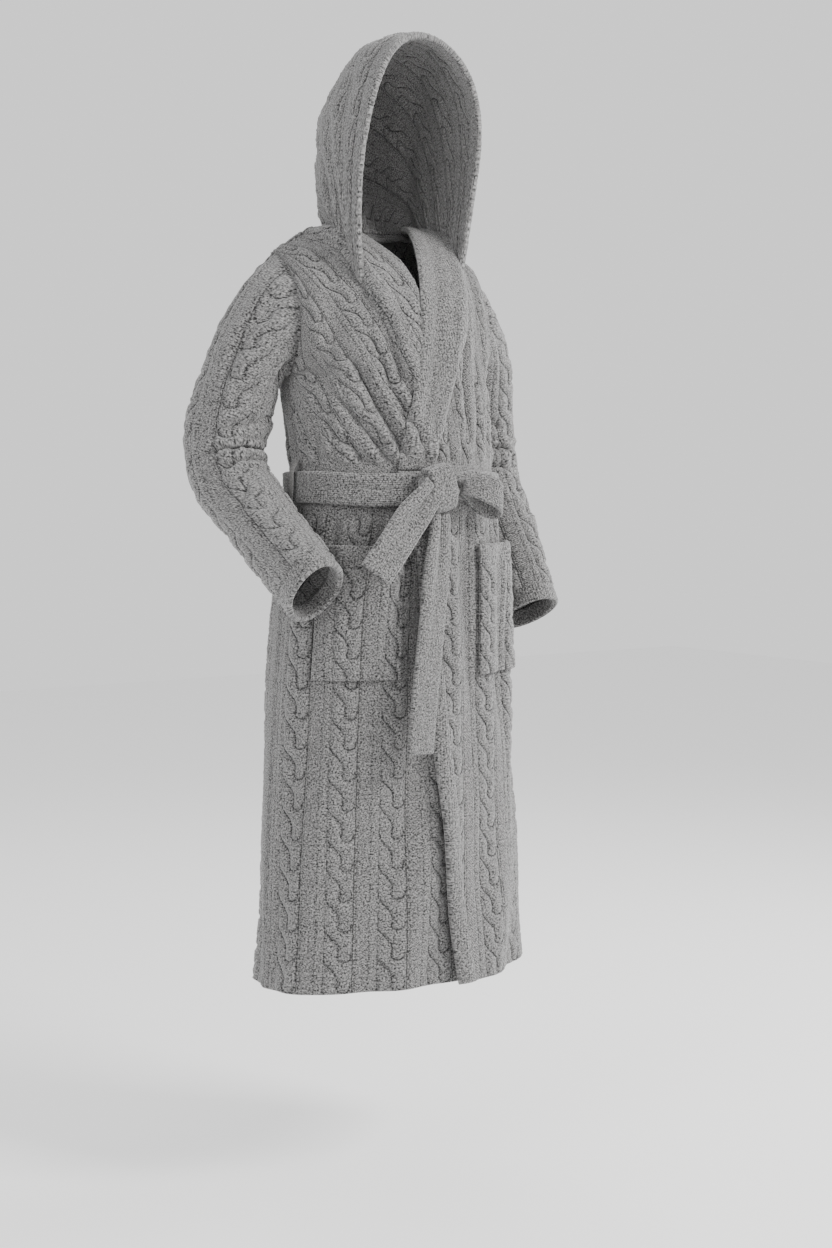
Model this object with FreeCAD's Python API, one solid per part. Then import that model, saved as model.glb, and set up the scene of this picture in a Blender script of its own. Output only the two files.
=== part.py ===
import FreeCAD, Part
import math
import os

# Hooded wrap bathrobe, worn shape, tied at the waist with a half bow.
# Millimetres.  +Z is up, the robe faces -Y and the wearer's left is +X.
# The origin is the nape: the middle of the back neck seam.

Vector = FreeCAD.Vector

# ---------------------------------------------------------------- cloth
CLOTH = 5.0                 # thickness of the plush
TRIM_CLOTH = 3.0            # thickness of the tape, the hanging loop and other trim
LABEL_CLOTH = 0.8           # thickness of the woven care label
BELT_CLOTH = 6.0            # the belt is two plies pressed together
SEAM_GAP = 3.0              # between two cut edges that are sewn together
LAYER_GAP = 2.5             # air between two layers that lie on each other

# ---------------------------------------------------------------- body of the robe
BACK_LENGTH = 1240.0        # nape to hem
HIP_DROP = 640.0            # nape to the widest part of the hips
WAIST_DROP = 430.0          # nape to the middle of the belt
ARMPIT_DROP = 250.0         # nape to the bottom of the armhole
SHOULDER_DROP = 50.0        # nape to the shoulder tip
HEM_HALF_WIDTH = 250.0
HEM_HALF_DEPTH = 152.0
HIP_HALF_WIDTH = 210.0
HIP_HALF_DEPTH = 149.0
WAIST_HALF_WIDTH = 178.0
WAIST_HALF_DEPTH = 145.0
CHEST_HALF_WIDTH = 181.0
CHEST_HALF_DEPTH = 140.0
SHOULDER_HALF_WIDTH = 186.0
HEM_CENTRE_Y = -90.0
HIP_CENTRE_Y = -88.0
WAIST_CENTRE_Y = -95.0
CHEST_CENTRE_Y = -67.0
SHOULDER_TIP_Y = -22.0
FRONT_NECK_Y = -34.0        # where the front meets the shoulder seam at the neck
ARMHOLE_HALF_DEPTH = 58.0

# ---------------------------------------------------------------- wrap front
LEFT_EDGE_AT_HEM = 23.0     # x of the free edge of the outer, left front
LEFT_EDGE_AT_KNEE = -22.0
LEFT_EDGE_BELOW_BELT = -48.0
LEFT_EDGE_AT_WAIST = -80.0
LEFT_EDGE_AT_CHEST = -28.0
RIGHT_EDGE_AT_HEM = 120.0   # x of the free edge of the inner, right front
RIGHT_EDGE_AT_WAIST = 85.0
RIGHT_EDGE_AT_CHEST = 30.0
NECK_HALF_WIDTH = 62.0      # x of both edges on the shoulder seam
EDGE_BAND_WIDTH = 32.0      # plain band down the skirt edges
WAIST_BAND_WIDTH = 52.0     # the lapel where it goes under the belt
LAPEL_WIDTH = 72.0          # the lapel on the chest
LAP_START = 72.0            # degrees from the front where the inner front starts to sink
LAP_END = 33.0              # degrees from the front where it lies a full layer down

# ---------------------------------------------------------------- skirt flap
FLAP_TOP_DROP = 885.0       # nape to the top of the corner that swings open
FLAP_HINGE_X = 150.0

# ---------------------------------------------------------------- pockets
POCKET_TOP_DROP = 520.0
POCKET_HEIGHT = 215.0
POCKET_HEM_HEIGHT = 30.0
POCKET_INNER_ANGLE = 20.0   # degrees from the front, round the body
POCKET_OUTER_ANGLE = 64.0
RIGHT_POCKET_FULLNESS = 16.0
LEFT_POCKET_FULLNESS = 9.0

# ---------------------------------------------------------------- belt
BELT_WIDTH = 52.0
KNOT_X = -14.0
KNOT_WIDTH = 72.0
KNOT_HEIGHT = 60.0
KNOT_DEPTH = 40.0
KNOT_ROUND = 14.0
KNOT_SINK = 4.0             # how far the knot sits back between the wrap's edges
LOOP_STRAP_WIDTH = 12.0
LOOP_STRAP_MARGIN = 20.0    # how far a belt loop reaches above and below the belt
LONG_TAIL_LENGTH = 385.0
LONG_TAIL_DRIFT = -38.0     # sideways travel of the tail down its length
SHORT_TAIL_LENGTH = 150.0
SHORT_TAIL_LEAN = 33.0      # degrees from straight down
TAIL_WIDTH = 54.0
TAIL_ROOM = 6.0             # between a tail or the bow and the knot
BOW_LENGTH = 74.0
BOW_ROOT = 22.0             # height of the bow where it leaves the knot
BOW_TIP = 50.0
BOW_FULLNESS = 13.0         # half of the bow's thickness where it is fullest
BOW_ROOT_FULLNESS = 6.5
BOW_TIP_SHARE = 0.45        # share of the loop's ply that curls round its tip
BOW_CLOTH = 4.0
BOW_CURL = 1.6              # how gradually the loop turns back at its tip

# ---------------------------------------------------------------- sleeves
SLEEVE_CLEARANCE = 7.0      # between the armhole and the sleeve head
LEFT_ELBOW = Vector(HIP_HALF_WIDTH + 58, 30, -385)       # the arms hang just outside the hips
LEFT_WRIST = Vector(HIP_HALF_WIDTH + 60, -118, -650)
RIGHT_ELBOW = Vector(-HIP_HALF_WIDTH - 65, -5, -400)
RIGHT_WRIST = Vector(-HIP_HALF_WIDTH - 24, -228, -590)
SLEEVE_RADIUS = 57.0        # at the elbow
SLEEVE_HEAD_RADIUS = 66.0
HEAD_OUT = 0.6              # the arm's top, in head radii beyond the shoulder
HEAD_DOWN = 1.65            # and below it
ARM_RING_RISE = 115.0       # the sleeve is an even tube from here down to the elbow
ARM_EASE_TALL = 5.0         # how much wider it is there than at the elbow
ARM_EASE_WIDE = 6.0
SLEEVE_SEAM_TURN = 0.02     # radians left open along the seam under the arm
CAP_REACH = 84.0            # how far the sleeve head stands out at the shoulder
CAP_FALL = 8.0
UNDERARM_REACH = 12.0
CUFF_RADIUS_ACROSS = 49.0
CUFF_RADIUS_TALL = 62.0
ELBOW_LINER_RADIUS = SLEEVE_RADIUS - 10.0   # the gathered cloth inside the elbow fold
LINER_TOP_ANGLE = 118.0     # degrees from the forearm's axis to the liner's upper rim
LINER_FOOT_ANGLE = 62.0
ELBOW_GAP = 5.0
FOLD_ROUND = 12.0           # rounds the fold where its two sides meet
LEFT_BEND_MIN = 18.0        # degrees of elbow bend that the folds leave room for
LEFT_BEND_MAX = 92.0
RIGHT_BEND_MIN = 26.0
RIGHT_BEND_MAX = 92.0
CUFF_BAND = 30.0

# ---------------------------------------------------------------- hood
HOOD_HEIGHT = 300.0
HOOD_HALF_WIDTH = 100.0     # at the base of the front edge
HOOD_SWELL = 35.0           # how far the sides stand out above the base
HOOD_FRONT_Y = -185.0
HOOD_BASE_Y = -150.0
HOOD_BASE_Z = -70.0
HOOD_NECK_HALF_WIDTH = 88.0
HOOD_NECK_Y = -45.0
HOOD_BACK_Y = 48.0
HOOD_LIFT = 7.0             # base of the hood above the neck seam
HOOD_BAND_SHARE = 0.085     # share of the hood's depth that the plain edge band takes

# ---------------------------------------------------------------- trim at the nape
NECK_TAPE_HALF_ANGLE = 24.0
HANGER_WIDTH = 60.0
HANGER_DROP = 38.0
HANGER_STRAP = 8.0
HANGER_Y = -4.0             # its back face, just inside the neck tape
HANGER_TOP_DROP = 9.0
LABEL_HALF_ANGLE = 7.0

QUARTER = math.pi / 2.0
NAMES = []


def keep(name, shape):
    """Write one piece as its own STEP file."""
    if not shape.isValid():
        raise ValueError(name + " is not a valid solid")
    shape.exportStep(os.path.join("parts", name + ".step"))
    NAMES.append(name)
    print("%-28s %10.0f mm3" % (name, shape.Volume))


def mix(a, b, share):
    return a + (b - a) * share


def ease(share):
    """Smooth step from 0 to 1."""
    share = min(max(share, 0.0), 1.0)
    return share * share * (3.0 - 2.0 * share)


def through(stations, at):
    """Smooth curve through (position, value) pairs in rising position."""
    last = len(stations) - 1
    k = 0
    while k < last - 1 and at > stations[k + 1][0]:
        k += 1
    here, there = stations[k], stations[k + 1]
    span = there[0] - here[0]

    def slope(i):
        low = stations[max(i - 1, 0)]
        high = stations[min(i + 1, last)]
        return (high[1] - low[1]) / (high[0] - low[0])

    s = (at - here[0]) / span
    start = (2 * s ** 3 - 3 * s ** 2 + 1) * here[1] + (s ** 3 - 2 * s ** 2 + s) * span * slope(k)
    return start + (3 * s ** 2 - 2 * s ** 3) * there[1] + (s ** 3 - s ** 2) * span * slope(k + 1)


# ---------------------------------------------------------------- sheets of cloth

def normal_at(point, u, v):
    """Unit normal of a surface point(u, v), to the right of +u and +v."""
    step = 1e-4
    du = point(u + step, v) - point(u - step, v)
    dv = point(u, v + step) - point(u, v - step)
    normal = du.cross(dv)
    normal.normalize()
    return normal


def moved(point, distance):
    """The surface point(u, v) moved along its normal by a distance or a function of u, v."""
    def shifted(u, v):
        away = distance(u, v) if callable(distance) else distance
        return point(u, v) + normal_at(point, u, v) * away
    return shifted


def patch(point, us, vs):
    surface = Part.BSplineSurface()
    surface.interpolate([[point(u, v) for v in vs] for u in us])
    return surface


def steps(low, high, count):
    return [mix(low, high, i / float(count)) for i in range(count + 1)]


def sheet(outer, u_range, v_range, u_count, v_count, thickness):
    """A closed solid: the outer face, the face one thickness behind it, and four edges."""
    us = steps(u_range[0], u_range[1], u_count)
    vs = steps(v_range[0], v_range[1], v_count)
    front = patch(outer, us, vs)
    back = patch(moved(outer, -thickness), us, vs)
    faces = [front.toShape(), back.toShape()]
    u_low, u_high, v_low, v_high = front.bounds()
    b_low, b_high, w_low, w_high = back.bounds()
    rims = [(front.uIso(u_low), back.uIso(b_low)), (front.uIso(u_high), back.uIso(b_high))]
    rims += [(front.vIso(v_low), back.vIso(w_low)), (front.vIso(v_high), back.vIso(w_high))]
    for one, other in rims:
        faces.append(Part.makeRuledSurface(one.toShape(), other.toShape()))
    shell = Part.makeShell(faces)
    shell.sewShape()
    solid = Part.makeSolid(Part.Shell(shell.Faces))
    if solid.Volume < 0:
        solid.reverse()
    return solid


# ---------------------------------------------------------------- body surface
# A row runs round the body.  Row 0 is the hem, 1 the waist, 2 the armpit and 3 the shoulder
# seam with the nape.  The angle is 0 at the middle front or back and 90 degrees at the side.

BODY_STATIONS = [
    (-BACK_LENGTH, HEM_HALF_WIDTH, HEM_HALF_DEPTH, HEM_CENTRE_Y),
    (-HIP_DROP, HIP_HALF_WIDTH, HIP_HALF_DEPTH, HIP_CENTRE_Y),
    (-WAIST_DROP, WAIST_HALF_WIDTH, WAIST_HALF_DEPTH, WAIST_CENTRE_Y),
    (-ARMPIT_DROP, CHEST_HALF_WIDTH, CHEST_HALF_DEPTH, CHEST_CENTRE_Y),
]


def body_size(z, column):
    return through([(station[0], station[column]) for station in BODY_STATIONS], z)


def row_at(z):
    """The row number of a height below the armpit."""
    if z < -WAIST_DROP:
        return (z + BACK_LENGTH) / (BACK_LENGTH - WAIST_DROP)
    return 1.0 + (z + WAIST_DROP) / (WAIST_DROP - ARMPIT_DROP)


def height_at(row):
    if row < 1.0:
        return mix(-BACK_LENGTH, -WAIST_DROP, row)
    return mix(-WAIST_DROP, -ARMPIT_DROP, row - 1.0)


def row_shape(row, front):
    """Half width, side y, middle y, side z and middle z of a row."""
    facing = -1.0 if front else 1.0
    if row <= 2.0:
        z = height_at(row)
        centre = body_size(z, 3)
        return body_size(z, 1), centre, centre + facing * body_size(z, 2), z, z
    rise = row - 2.0
    half = mix(CHEST_HALF_WIDTH, SHOULDER_HALF_WIDTH, ease(rise))
    side_y = mix(CHEST_CENTRE_Y, SHOULDER_TIP_Y, rise)
    side_y += facing * (ARMHOLE_HALF_DEPTH * math.sin(math.pi * rise) ** 1.5 + SEAM_GAP * rise)
    armhole_middle = -(ARMPIT_DROP + SHOULDER_DROP) / 2.0
    armhole_half = (ARMPIT_DROP - SHOULDER_DROP) / 2.0
    side_z = armhole_middle - armhole_half * math.cos(math.pi * rise)
    top_y = FRONT_NECK_Y if front else 0.0
    chest_y = CHEST_CENTRE_Y + facing * CHEST_HALF_DEPTH
    middle_y = top_y + (chest_y - top_y) * math.cos(QUARTER * rise)
    middle_z = -ARMPIT_DROP + ARMPIT_DROP * math.sin(QUARTER * rise)
    return half, side_y, middle_y, side_z, middle_z


def body(angle, row, front):
    half, side_y, middle_y, side_z, middle_z = row_shape(row, front)
    across = math.sin(math.radians(angle))
    ahead = math.cos(math.radians(angle))
    y = side_y + (middle_y - side_y) * ahead
    z = side_z + (middle_z - side_z) * ahead * ahead
    return Vector(half * across, y, z)


def front_body(angle, row):
    return body(angle, row, True)


def back_body(angle, row):
    return body(-angle, row, False)


def angle_of(x, row):
    """The angle at which a front row reaches x."""
    half = row_shape(row, True)[0]
    return math.degrees(math.asin(x / half))


def lap_depth(angle, row):
    """How far the inner front lies below the outer one."""
    share = ease((angle + LAP_START) / (LAP_START - LAP_END))
    return -(CLOTH + LAYER_GAP) * share


KNEE_ROW = 0.46
BELOW_BELT_ROW = 0.86
CHEST_ROW = 2.0
COLLAR_ROW = 2.5
TOP_ROW = 2.98
COLLAR_EDGE = 10.0          # x of a lapel's edge half way up the chest
FRONT_ROWS = 48             # rows that shape a front panel, close enough to follow its band

LEFT_EDGE = [
    (0.0, LEFT_EDGE_AT_HEM), (KNEE_ROW, LEFT_EDGE_AT_KNEE),
    (BELOW_BELT_ROW, LEFT_EDGE_BELOW_BELT), (1.0, LEFT_EDGE_AT_WAIST),
    (CHEST_ROW, LEFT_EDGE_AT_CHEST), (COLLAR_ROW, COLLAR_EDGE), (3.0, NECK_HALF_WIDTH),
]
RIGHT_EDGE = [
    (0.0, RIGHT_EDGE_AT_HEM), (1.0, RIGHT_EDGE_AT_WAIST), (CHEST_ROW, RIGHT_EDGE_AT_CHEST),
    (COLLAR_ROW, -COLLAR_EDGE), (3.0, -NECK_HALF_WIDTH),
]
BAND_WIDTHS = [
    (0.0, EDGE_BAND_WIDTH), (0.8, EDGE_BAND_WIDTH), (1.0, WAIST_BAND_WIDTH),
    (CHEST_ROW, LAPEL_WIDTH), (3.0, LAPEL_WIDTH),
]


def left_edge(row):
    return through(LEFT_EDGE, row)


def right_edge(row):
    return through(RIGHT_EDGE, row)


def band_width(row):
    return through(BAND_WIDTHS, row)


def side_angle(row):
    """The angle where a panel stops, half a seam gap short of the side."""
    return 90.0 - math.degrees(SEAM_GAP / row_shape(row, True)[0])


def left_band_angle(row):
    return angle_of(left_edge(row) + band_width(row), row)


def left_seam_angle(row):
    return angle_of(left_edge(row) + band_width(row) + SEAM_GAP, row)


def right_band_angle(row):
    return angle_of(right_edge(row) - band_width(row), row)


def right_seam_angle(row):
    return angle_of(right_edge(row) - band_width(row) - SEAM_GAP, row)


inner_front = moved(front_body, lap_depth)


def right_front(share, row):
    low = -side_angle(row)
    return inner_front(mix(low, right_seam_angle(row), share), row)


def left_front(share, row):
    return front_body(mix(left_seam_angle(row), side_angle(row), share), row)


def left_band(share, row):
    return front_body(mix(angle_of(left_edge(row), row), left_band_angle(row), share), row)


def right_band(share, row):
    return inner_front(mix(right_band_angle(row), angle_of(right_edge(row), row), share), row)


def back_sheet(share, row):
    return back_body(mix(-side_angle(row), side_angle(row), share), row)


def make_fronts():
    whole = (0.0, 1.0)
    keep("back_panel", sheet(back_sheet, whole, (0.0, TOP_ROW), 16, 26, CLOTH))
    keep("right_front_panel", sheet(right_front, whole, (0.0, TOP_ROW), 12, FRONT_ROWS, CLOTH))
    band_split = row_at(-WAIST_DROP + BELT_WIDTH / 2.0 + SEAM_GAP)
    skirt = (0.0, band_split - 0.01)
    lapel = (band_split, TOP_ROW)
    keep("right_edge_band", sheet(right_band, whole, skirt, 4, 26, CLOTH))
    keep("right_lapel", sheet(right_band, whole, lapel, 4, 14, CLOTH))
    keep("left_lapel", sheet(left_band, whole, lapel, 4, 14, CLOTH))

    panel = sheet(left_front, whole, (0.0, TOP_ROW), 12, FRONT_ROWS, CLOTH)
    band = sheet(left_band, whole, skirt, 4, 26, CLOTH)
    reach = 2.0 * HEM_HALF_WIDTH
    height = BACK_LENGTH - FLAP_TOP_DROP
    corner = Vector(FLAP_HINGE_X - 2.0 * reach, -2.0 * reach, -BACK_LENGTH - height)
    room = Part.makeBox(2.0 * reach, 2.0 * reach, 2.0 * height, corner)
    grown = Part.makeBox(2.0 * reach + SEAM_GAP, 2.0 * reach, 2.0 * height + SEAM_GAP, corner)
    keep("left_front_panel", panel.cut(grown).Solids[0])
    keep("left_front_flap", panel.common(room).Solids[0])
    keep("left_edge_band", band.cut(grown).Solids[0])
    keep("left_flap_edge_band", band.common(room).Solids[0])


def make_pockets():
    bottom = row_at(-POCKET_TOP_DROP - POCKET_HEIGHT)
    mouth = row_at(-POCKET_TOP_DROP)
    hem = row_at(-POCKET_TOP_DROP - POCKET_HEM_HEIGHT)
    seam = row_at(-POCKET_TOP_DROP - POCKET_HEM_HEIGHT - SEAM_GAP)
    for side, under, fullness, low, high in (
            ("right", inner_front, RIGHT_POCKET_FULLNESS, -POCKET_OUTER_ANGLE, -POCKET_INNER_ANGLE),
            ("left", front_body, LEFT_POCKET_FULLNESS, POCKET_INNER_ANGLE, POCKET_OUTER_ANGLE)):

        def stand(angle, row, low=low, high=high, fullness=fullness):
            across = 2.0 * (angle - low) / (high - low) - 1.0
            up = ease((row - bottom) / (mouth - bottom))
            return LAYER_GAP + CLOTH + fullness * (1.0 - across ** 4) * up

        cloth = moved(under, stand)
        keep(side + "_pocket", sheet(cloth, (low, high), (bottom, seam), 8, 8, CLOTH))
        keep(side + "_pocket_hem", sheet(cloth, (low, high), (hem, mouth), 8, 3, CLOTH))


# ---------------------------------------------------------------- belt

def waist(angle, row):
    """The body surface all the way round: 0 at the front, 90 at the wearer's left."""
    if math.cos(math.radians(angle)) >= 0.0:
        return front_body(angle, row)
    return back_body(angle - 180.0, row)


KNOT_Y = WAIST_CENTRE_Y - WAIST_HALF_DEPTH - LAYER_GAP - BELT_CLOTH - KNOT_DEPTH / 2.0 + KNOT_SINK
BELT_STAND = LAYER_GAP + BELT_CLOTH
TAIL_TOP_Z = -WAIST_DROP - KNOT_HEIGHT / 2.0 - TAIL_ROOM


def make_belt():
    low = row_at(-WAIST_DROP - BELT_WIDTH / 2.0)
    high = row_at(-WAIST_DROP + BELT_WIDTH / 2.0)
    start = angle_of(KNOT_X + KNOT_WIDTH / 2.0 + SEAM_GAP, 1.0)
    end = 360.0 + angle_of(KNOT_X - KNOT_WIDTH / 2.0 - SEAM_GAP, 1.0)
    band = sheet(moved(waist, BELT_STAND), (start, end), (low, high), 40, 4, BELT_CLOTH)
    keep("belt_waist_band", band)

    knot = Part.makeBox(KNOT_WIDTH, KNOT_DEPTH, KNOT_HEIGHT)
    knot = knot.makeFillet(KNOT_ROUND, knot.Edges)
    knot.translate(Vector(KNOT_X - KNOT_WIDTH / 2.0, KNOT_Y - KNOT_DEPTH / 2.0,
                          -WAIST_DROP - KNOT_HEIGHT / 2.0))
    keep("belt_knot", knot)

    keep("belt_bow_loop", bow_loop())
    keep("belt_short_tail", short_tail())
    keep("belt_long_tail", long_tail())

    for side, middle in (("left", 90.0), ("right", 270.0)):
        half = math.degrees(LOOP_STRAP_WIDTH / 2.0 / WAIST_HALF_DEPTH)
        bottom = -WAIST_DROP - BELT_WIDTH / 2.0 - LOOP_STRAP_MARGIN
        top = -WAIST_DROP + BELT_WIDTH / 2.0 + LOOP_STRAP_MARGIN

        def strap(share, row, bottom=bottom, top=top):
            z = height_at(row)
            from_end = min(z - bottom, top - z) / LOOP_STRAP_MARGIN
            return SEAM_GAP + TRIM_CLOTH + (BELT_STAND + LAYER_GAP - SEAM_GAP) * ease(from_end)

        keep(side + "_belt_loop", sheet(moved(waist, strap), (middle - half, middle + half),
                                        (row_at(bottom), row_at(top)), 2, 16, TRIM_CLOTH))


def bow_loop():
    """The half bow: a flattened loop of the belt that leaves the knot to the wearer's left."""
    root_x = KNOT_X + KNOT_WIDTH / 2.0 + TAIL_ROOM

    def point(turn, share):
        # turn runs from -1 on the front ply, round the tip at 0, to 1 on the back ply
        along = 1.0 - abs(turn) ** BOW_CURL
        side = math.copysign(1.0, turn) * (1.0 - (1.0 - min(abs(turn) / BOW_TIP_SHARE, 1.0)) ** 2)
        fullness = mix(BOW_ROOT_FULLNESS, BOW_FULLNESS, ease(2.0 * along))
        height = mix(BOW_ROOT, BOW_TIP, ease(1.6 * along))
        return Vector(root_x + BOW_LENGTH * along, KNOT_Y + side * fullness,
                      -WAIST_DROP + height * (share - 0.5))

    return sheet(point, (1.0, -1.0), (0.0, 1.0), 24, 3, BOW_CLOTH)


def long_tail():
    top = Vector(KNOT_X, KNOT_Y, TAIL_TOP_Z)

    def point(across, down):
        x = top.x + LONG_TAIL_DRIFT * down + TAIL_WIDTH * (0.5 - across) * mix(0.9, 1.0, ease(4.0 * down))
        return Vector(x, top.y - BELT_CLOTH / 2.0, top.z - LONG_TAIL_LENGTH * down)

    return sheet(point, (0.0, 1.0), (0.0, 1.0), 2, 6, BELT_CLOTH)


def short_tail():
    lean = math.radians(SHORT_TAIL_LEAN)
    along = Vector(-math.sin(lean), 0.0, -math.cos(lean))
    across = Vector(-math.cos(lean), 0.0, math.sin(lean))
    top = Vector(KNOT_X - KNOT_WIDTH / 2.0 - TAIL_ROOM, KNOT_Y, TAIL_TOP_Z + KNOT_HEIGHT / 6.0)

    def point(share, down):
        width = TAIL_WIDTH * mix(0.62, 1.0, ease(2.0 * down))
        middle = top + along * (SHORT_TAIL_LENGTH * down)
        return middle + across * (width * (share - 0.5)) + Vector(0.0, -BELT_CLOTH / 2.0, 0.0)

    return sheet(point, (0.0, 1.0), (0.0, 1.0), 2, 5, BELT_CLOTH)


# ---------------------------------------------------------------- sleeves
# The turn of a ring is 0 under the arm, 90 degrees in front, 180 outside and 270 behind.

def ring(centre, along, tall, wide, turn):
    """A point on an oval ring across a sleeve; tall is front to back, wide is in and out."""
    along = Vector(along)
    along.normalize()
    ahead = Vector(0, -1, 0) - along * Vector(0, -1, 0).dot(along)
    ahead.normalize()
    outward = ahead.cross(along)
    return centre + ahead * (tall * math.sin(turn)) - outward * (wide * math.cos(turn))


def armhole(turn):
    """The sleeve head's ring, just outside the armhole of the body."""
    rise = turn / math.pi if turn <= math.pi else 2.0 - turn / math.pi
    half, side_y, middle_y, side_z, middle_z = row_shape(2.0 + rise, turn <= math.pi)
    return Vector(SHOULDER_HALF_WIDTH + SLEEVE_CLEARANCE, side_y, side_z)


def bezier(points, share):
    """Cubic through the first and last of four points, pulled towards the middle two."""
    rest = 1.0 - share
    weights = (rest ** 3, 3 * rest ** 2 * share, 3 * rest * share ** 2, share ** 3)
    total = Vector(0, 0, 0)
    for point, weight in zip(points, weights):
        total += point * weight
    return total


def bend_side(along, other):
    """Unit vector across one part of the arm, towards the side where the elbow closes."""
    side = other - along * other.dot(along)
    side.normalize()
    return side


def fold_cut(turn, along, inside, bend_min, bend_max):
    """How far a tube stops short of the elbow at this turn, so that it can bend."""
    ahead = ring(Vector(0, 0, 0), along, SLEEVE_RADIUS, SLEEVE_RADIUS, turn).dot(inside)
    most = math.tan(math.radians(bend_max / 2.0))
    least = math.tan(math.radians(bend_min / 2.0))
    return 0.5 * (ahead * (most + least) + math.hypot(ahead, FOLD_ROUND) * (most - least)) + ELBOW_GAP


def make_sleeve(side, elbow, wrist, bend_min, bend_max):
    mirror = side == "right"
    if mirror:
        elbow = Vector(-elbow.x, elbow.y, elbow.z)
        wrist = Vector(-wrist.x, wrist.y, wrist.z)
    head = Vector(SHOULDER_HALF_WIDTH + HEAD_OUT * SLEEVE_HEAD_RADIUS, SHOULDER_TIP_Y,
                  -SHOULDER_DROP - HEAD_DOWN * SLEEVE_HEAD_RADIUS)
    upper = elbow - head
    upper.normalize()
    fore = wrist - elbow
    fore_length = fore.Length
    fore.normalize()
    around = (2.0 * math.pi - SLEEVE_SEAM_TURN, SLEEVE_SEAM_TURN)
    upper_inside = bend_side(upper, fore)
    fore_inside = bend_side(fore, -upper)

    def upper_sleeve(turn, share):
        neck = armhole(turn)
        outside = 0.5 - 0.5 * math.cos(turn)
        cap = neck + Vector(mix(UNDERARM_REACH, CAP_REACH, outside), 0, -CAP_FALL * outside)
        arm = ring(elbow - upper * ARM_RING_RISE, upper, SLEEVE_RADIUS + ARM_EASE_TALL,
                   SLEEVE_RADIUS + ARM_EASE_WIDE, turn)
        cut = fold_cut(turn, upper, upper_inside, bend_min, bend_max)
        end = ring(elbow - upper * cut, upper, SLEEVE_RADIUS, SLEEVE_RADIUS, turn)
        return bezier((neck, cap, arm, end), share)

    def elbow_liner(turn, share):
        opening = math.radians(mix(LINER_TOP_ANGLE, LINER_FOOT_ANGLE, share))
        radius = ELBOW_LINER_RADIUS * math.sin(opening)
        reach = ELBOW_LINER_RADIUS * math.cos(opening)
        return ring(elbow + fore * reach, fore, radius, radius, turn)

    def fore_sleeve(turn, down):
        cut = fold_cut(turn, fore, fore_inside, bend_min, bend_max)
        tall = mix(SLEEVE_RADIUS, CUFF_RADIUS_TALL, ease(down))
        wide = mix(SLEEVE_RADIUS, CUFF_RADIUS_ACROSS, ease(down))
        return ring(elbow + fore * mix(cut, fore_length, down), fore, tall, wide, turn)

    cuff_share = 1.0 - CUFF_BAND / fore_length
    seam_share = cuff_share - SEAM_GAP / fore_length
    solids = {
        "_upper_sleeve": sheet(upper_sleeve, around, (0.0, 1.0), 24, 12, CLOTH),
        "_forearm_sleeve": sheet(fore_sleeve, around, (0.0, seam_share), 24, 8, CLOTH),
        "_elbow_liner": sheet(elbow_liner, around, (0.0, 1.0), 24, 5, TRIM_CLOTH),
        "_cuff_band": sheet(fore_sleeve, around, (cuff_share, 1.0), 24, 3, CLOTH),
    }
    for name, solid in solids.items():
        if mirror:
            solid = solid.mirror(Vector(0, 0, 0), Vector(1, 0, 0))
        keep(side + name, solid)


# ---------------------------------------------------------------- hood
# An arch runs from the base on the wearer's left (turn 0) over the top (90) to the right (180).
# depth is 0 at the front edge and 1 at the neck seam behind.

HOOD_SEAM_Y = [
    (0.0, HOOD_FRONT_Y), (0.2, -110.0), (0.4, -32.0), (0.58, HOOD_BACK_Y - 24.0),
    (0.74, HOOD_BACK_Y), (0.88, HOOD_BACK_Y - 3.0), (1.0, 12.0),
]
HOOD_SEAM_Z = [
    (0.0, HOOD_HEIGHT - 4.0), (0.2, HOOD_HEIGHT), (0.4, 0.925 * HOOD_HEIGHT),
    (0.58, 0.74 * HOOD_HEIGHT), (0.74, 0.47 * HOOD_HEIGHT), (0.88, 0.2 * HOOD_HEIGHT),
    (1.0, HOOD_LIFT),
]


def hood(turn, depth):
    base_x = mix(HOOD_HALF_WIDTH, HOOD_NECK_HALF_WIDTH, ease(depth))
    base_y = mix(HOOD_BASE_Y, HOOD_NECK_Y, depth)
    base_z = mix(HOOD_BASE_Z, HOOD_LIFT, math.sin(QUARTER * depth))
    seam_y = through(HOOD_SEAM_Y, depth)
    seam_z = through(HOOD_SEAM_Z, depth)
    swell = HOOD_SWELL * (1.0 - depth ** 2)
    rise = math.sin(turn)
    x = base_x * math.cos(turn) + swell * math.sin(2.0 * turn)
    y = mix(base_y, seam_y, rise) - 0.6 * swell * math.sin(2.0 * turn) ** 2 * (1.0 - depth)
    return Vector(x, y, mix(base_z, seam_z, rise))


def make_hood():
    gap = SEAM_GAP / 2.0 / HOOD_NECK_HALF_WIDTH
    seam = HOOD_BAND_SHARE + SEAM_GAP / (HOOD_NECK_Y - HOOD_BASE_Y)
    band = sheet(hood, (math.pi, 0.0), (0.0, HOOD_BAND_SHARE), 28, 3, CLOTH)
    keep("hood_edge_band", band)
    keep("hood_left_half", sheet(hood, (QUARTER - gap, 0.0), (seam, 1.0), 14, 14, CLOTH))
    keep("hood_right_half", sheet(hood, (math.pi, QUARTER + gap), (seam, 1.0), 14, 14, CLOTH))


# ---------------------------------------------------------------- trim at the nape

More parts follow.
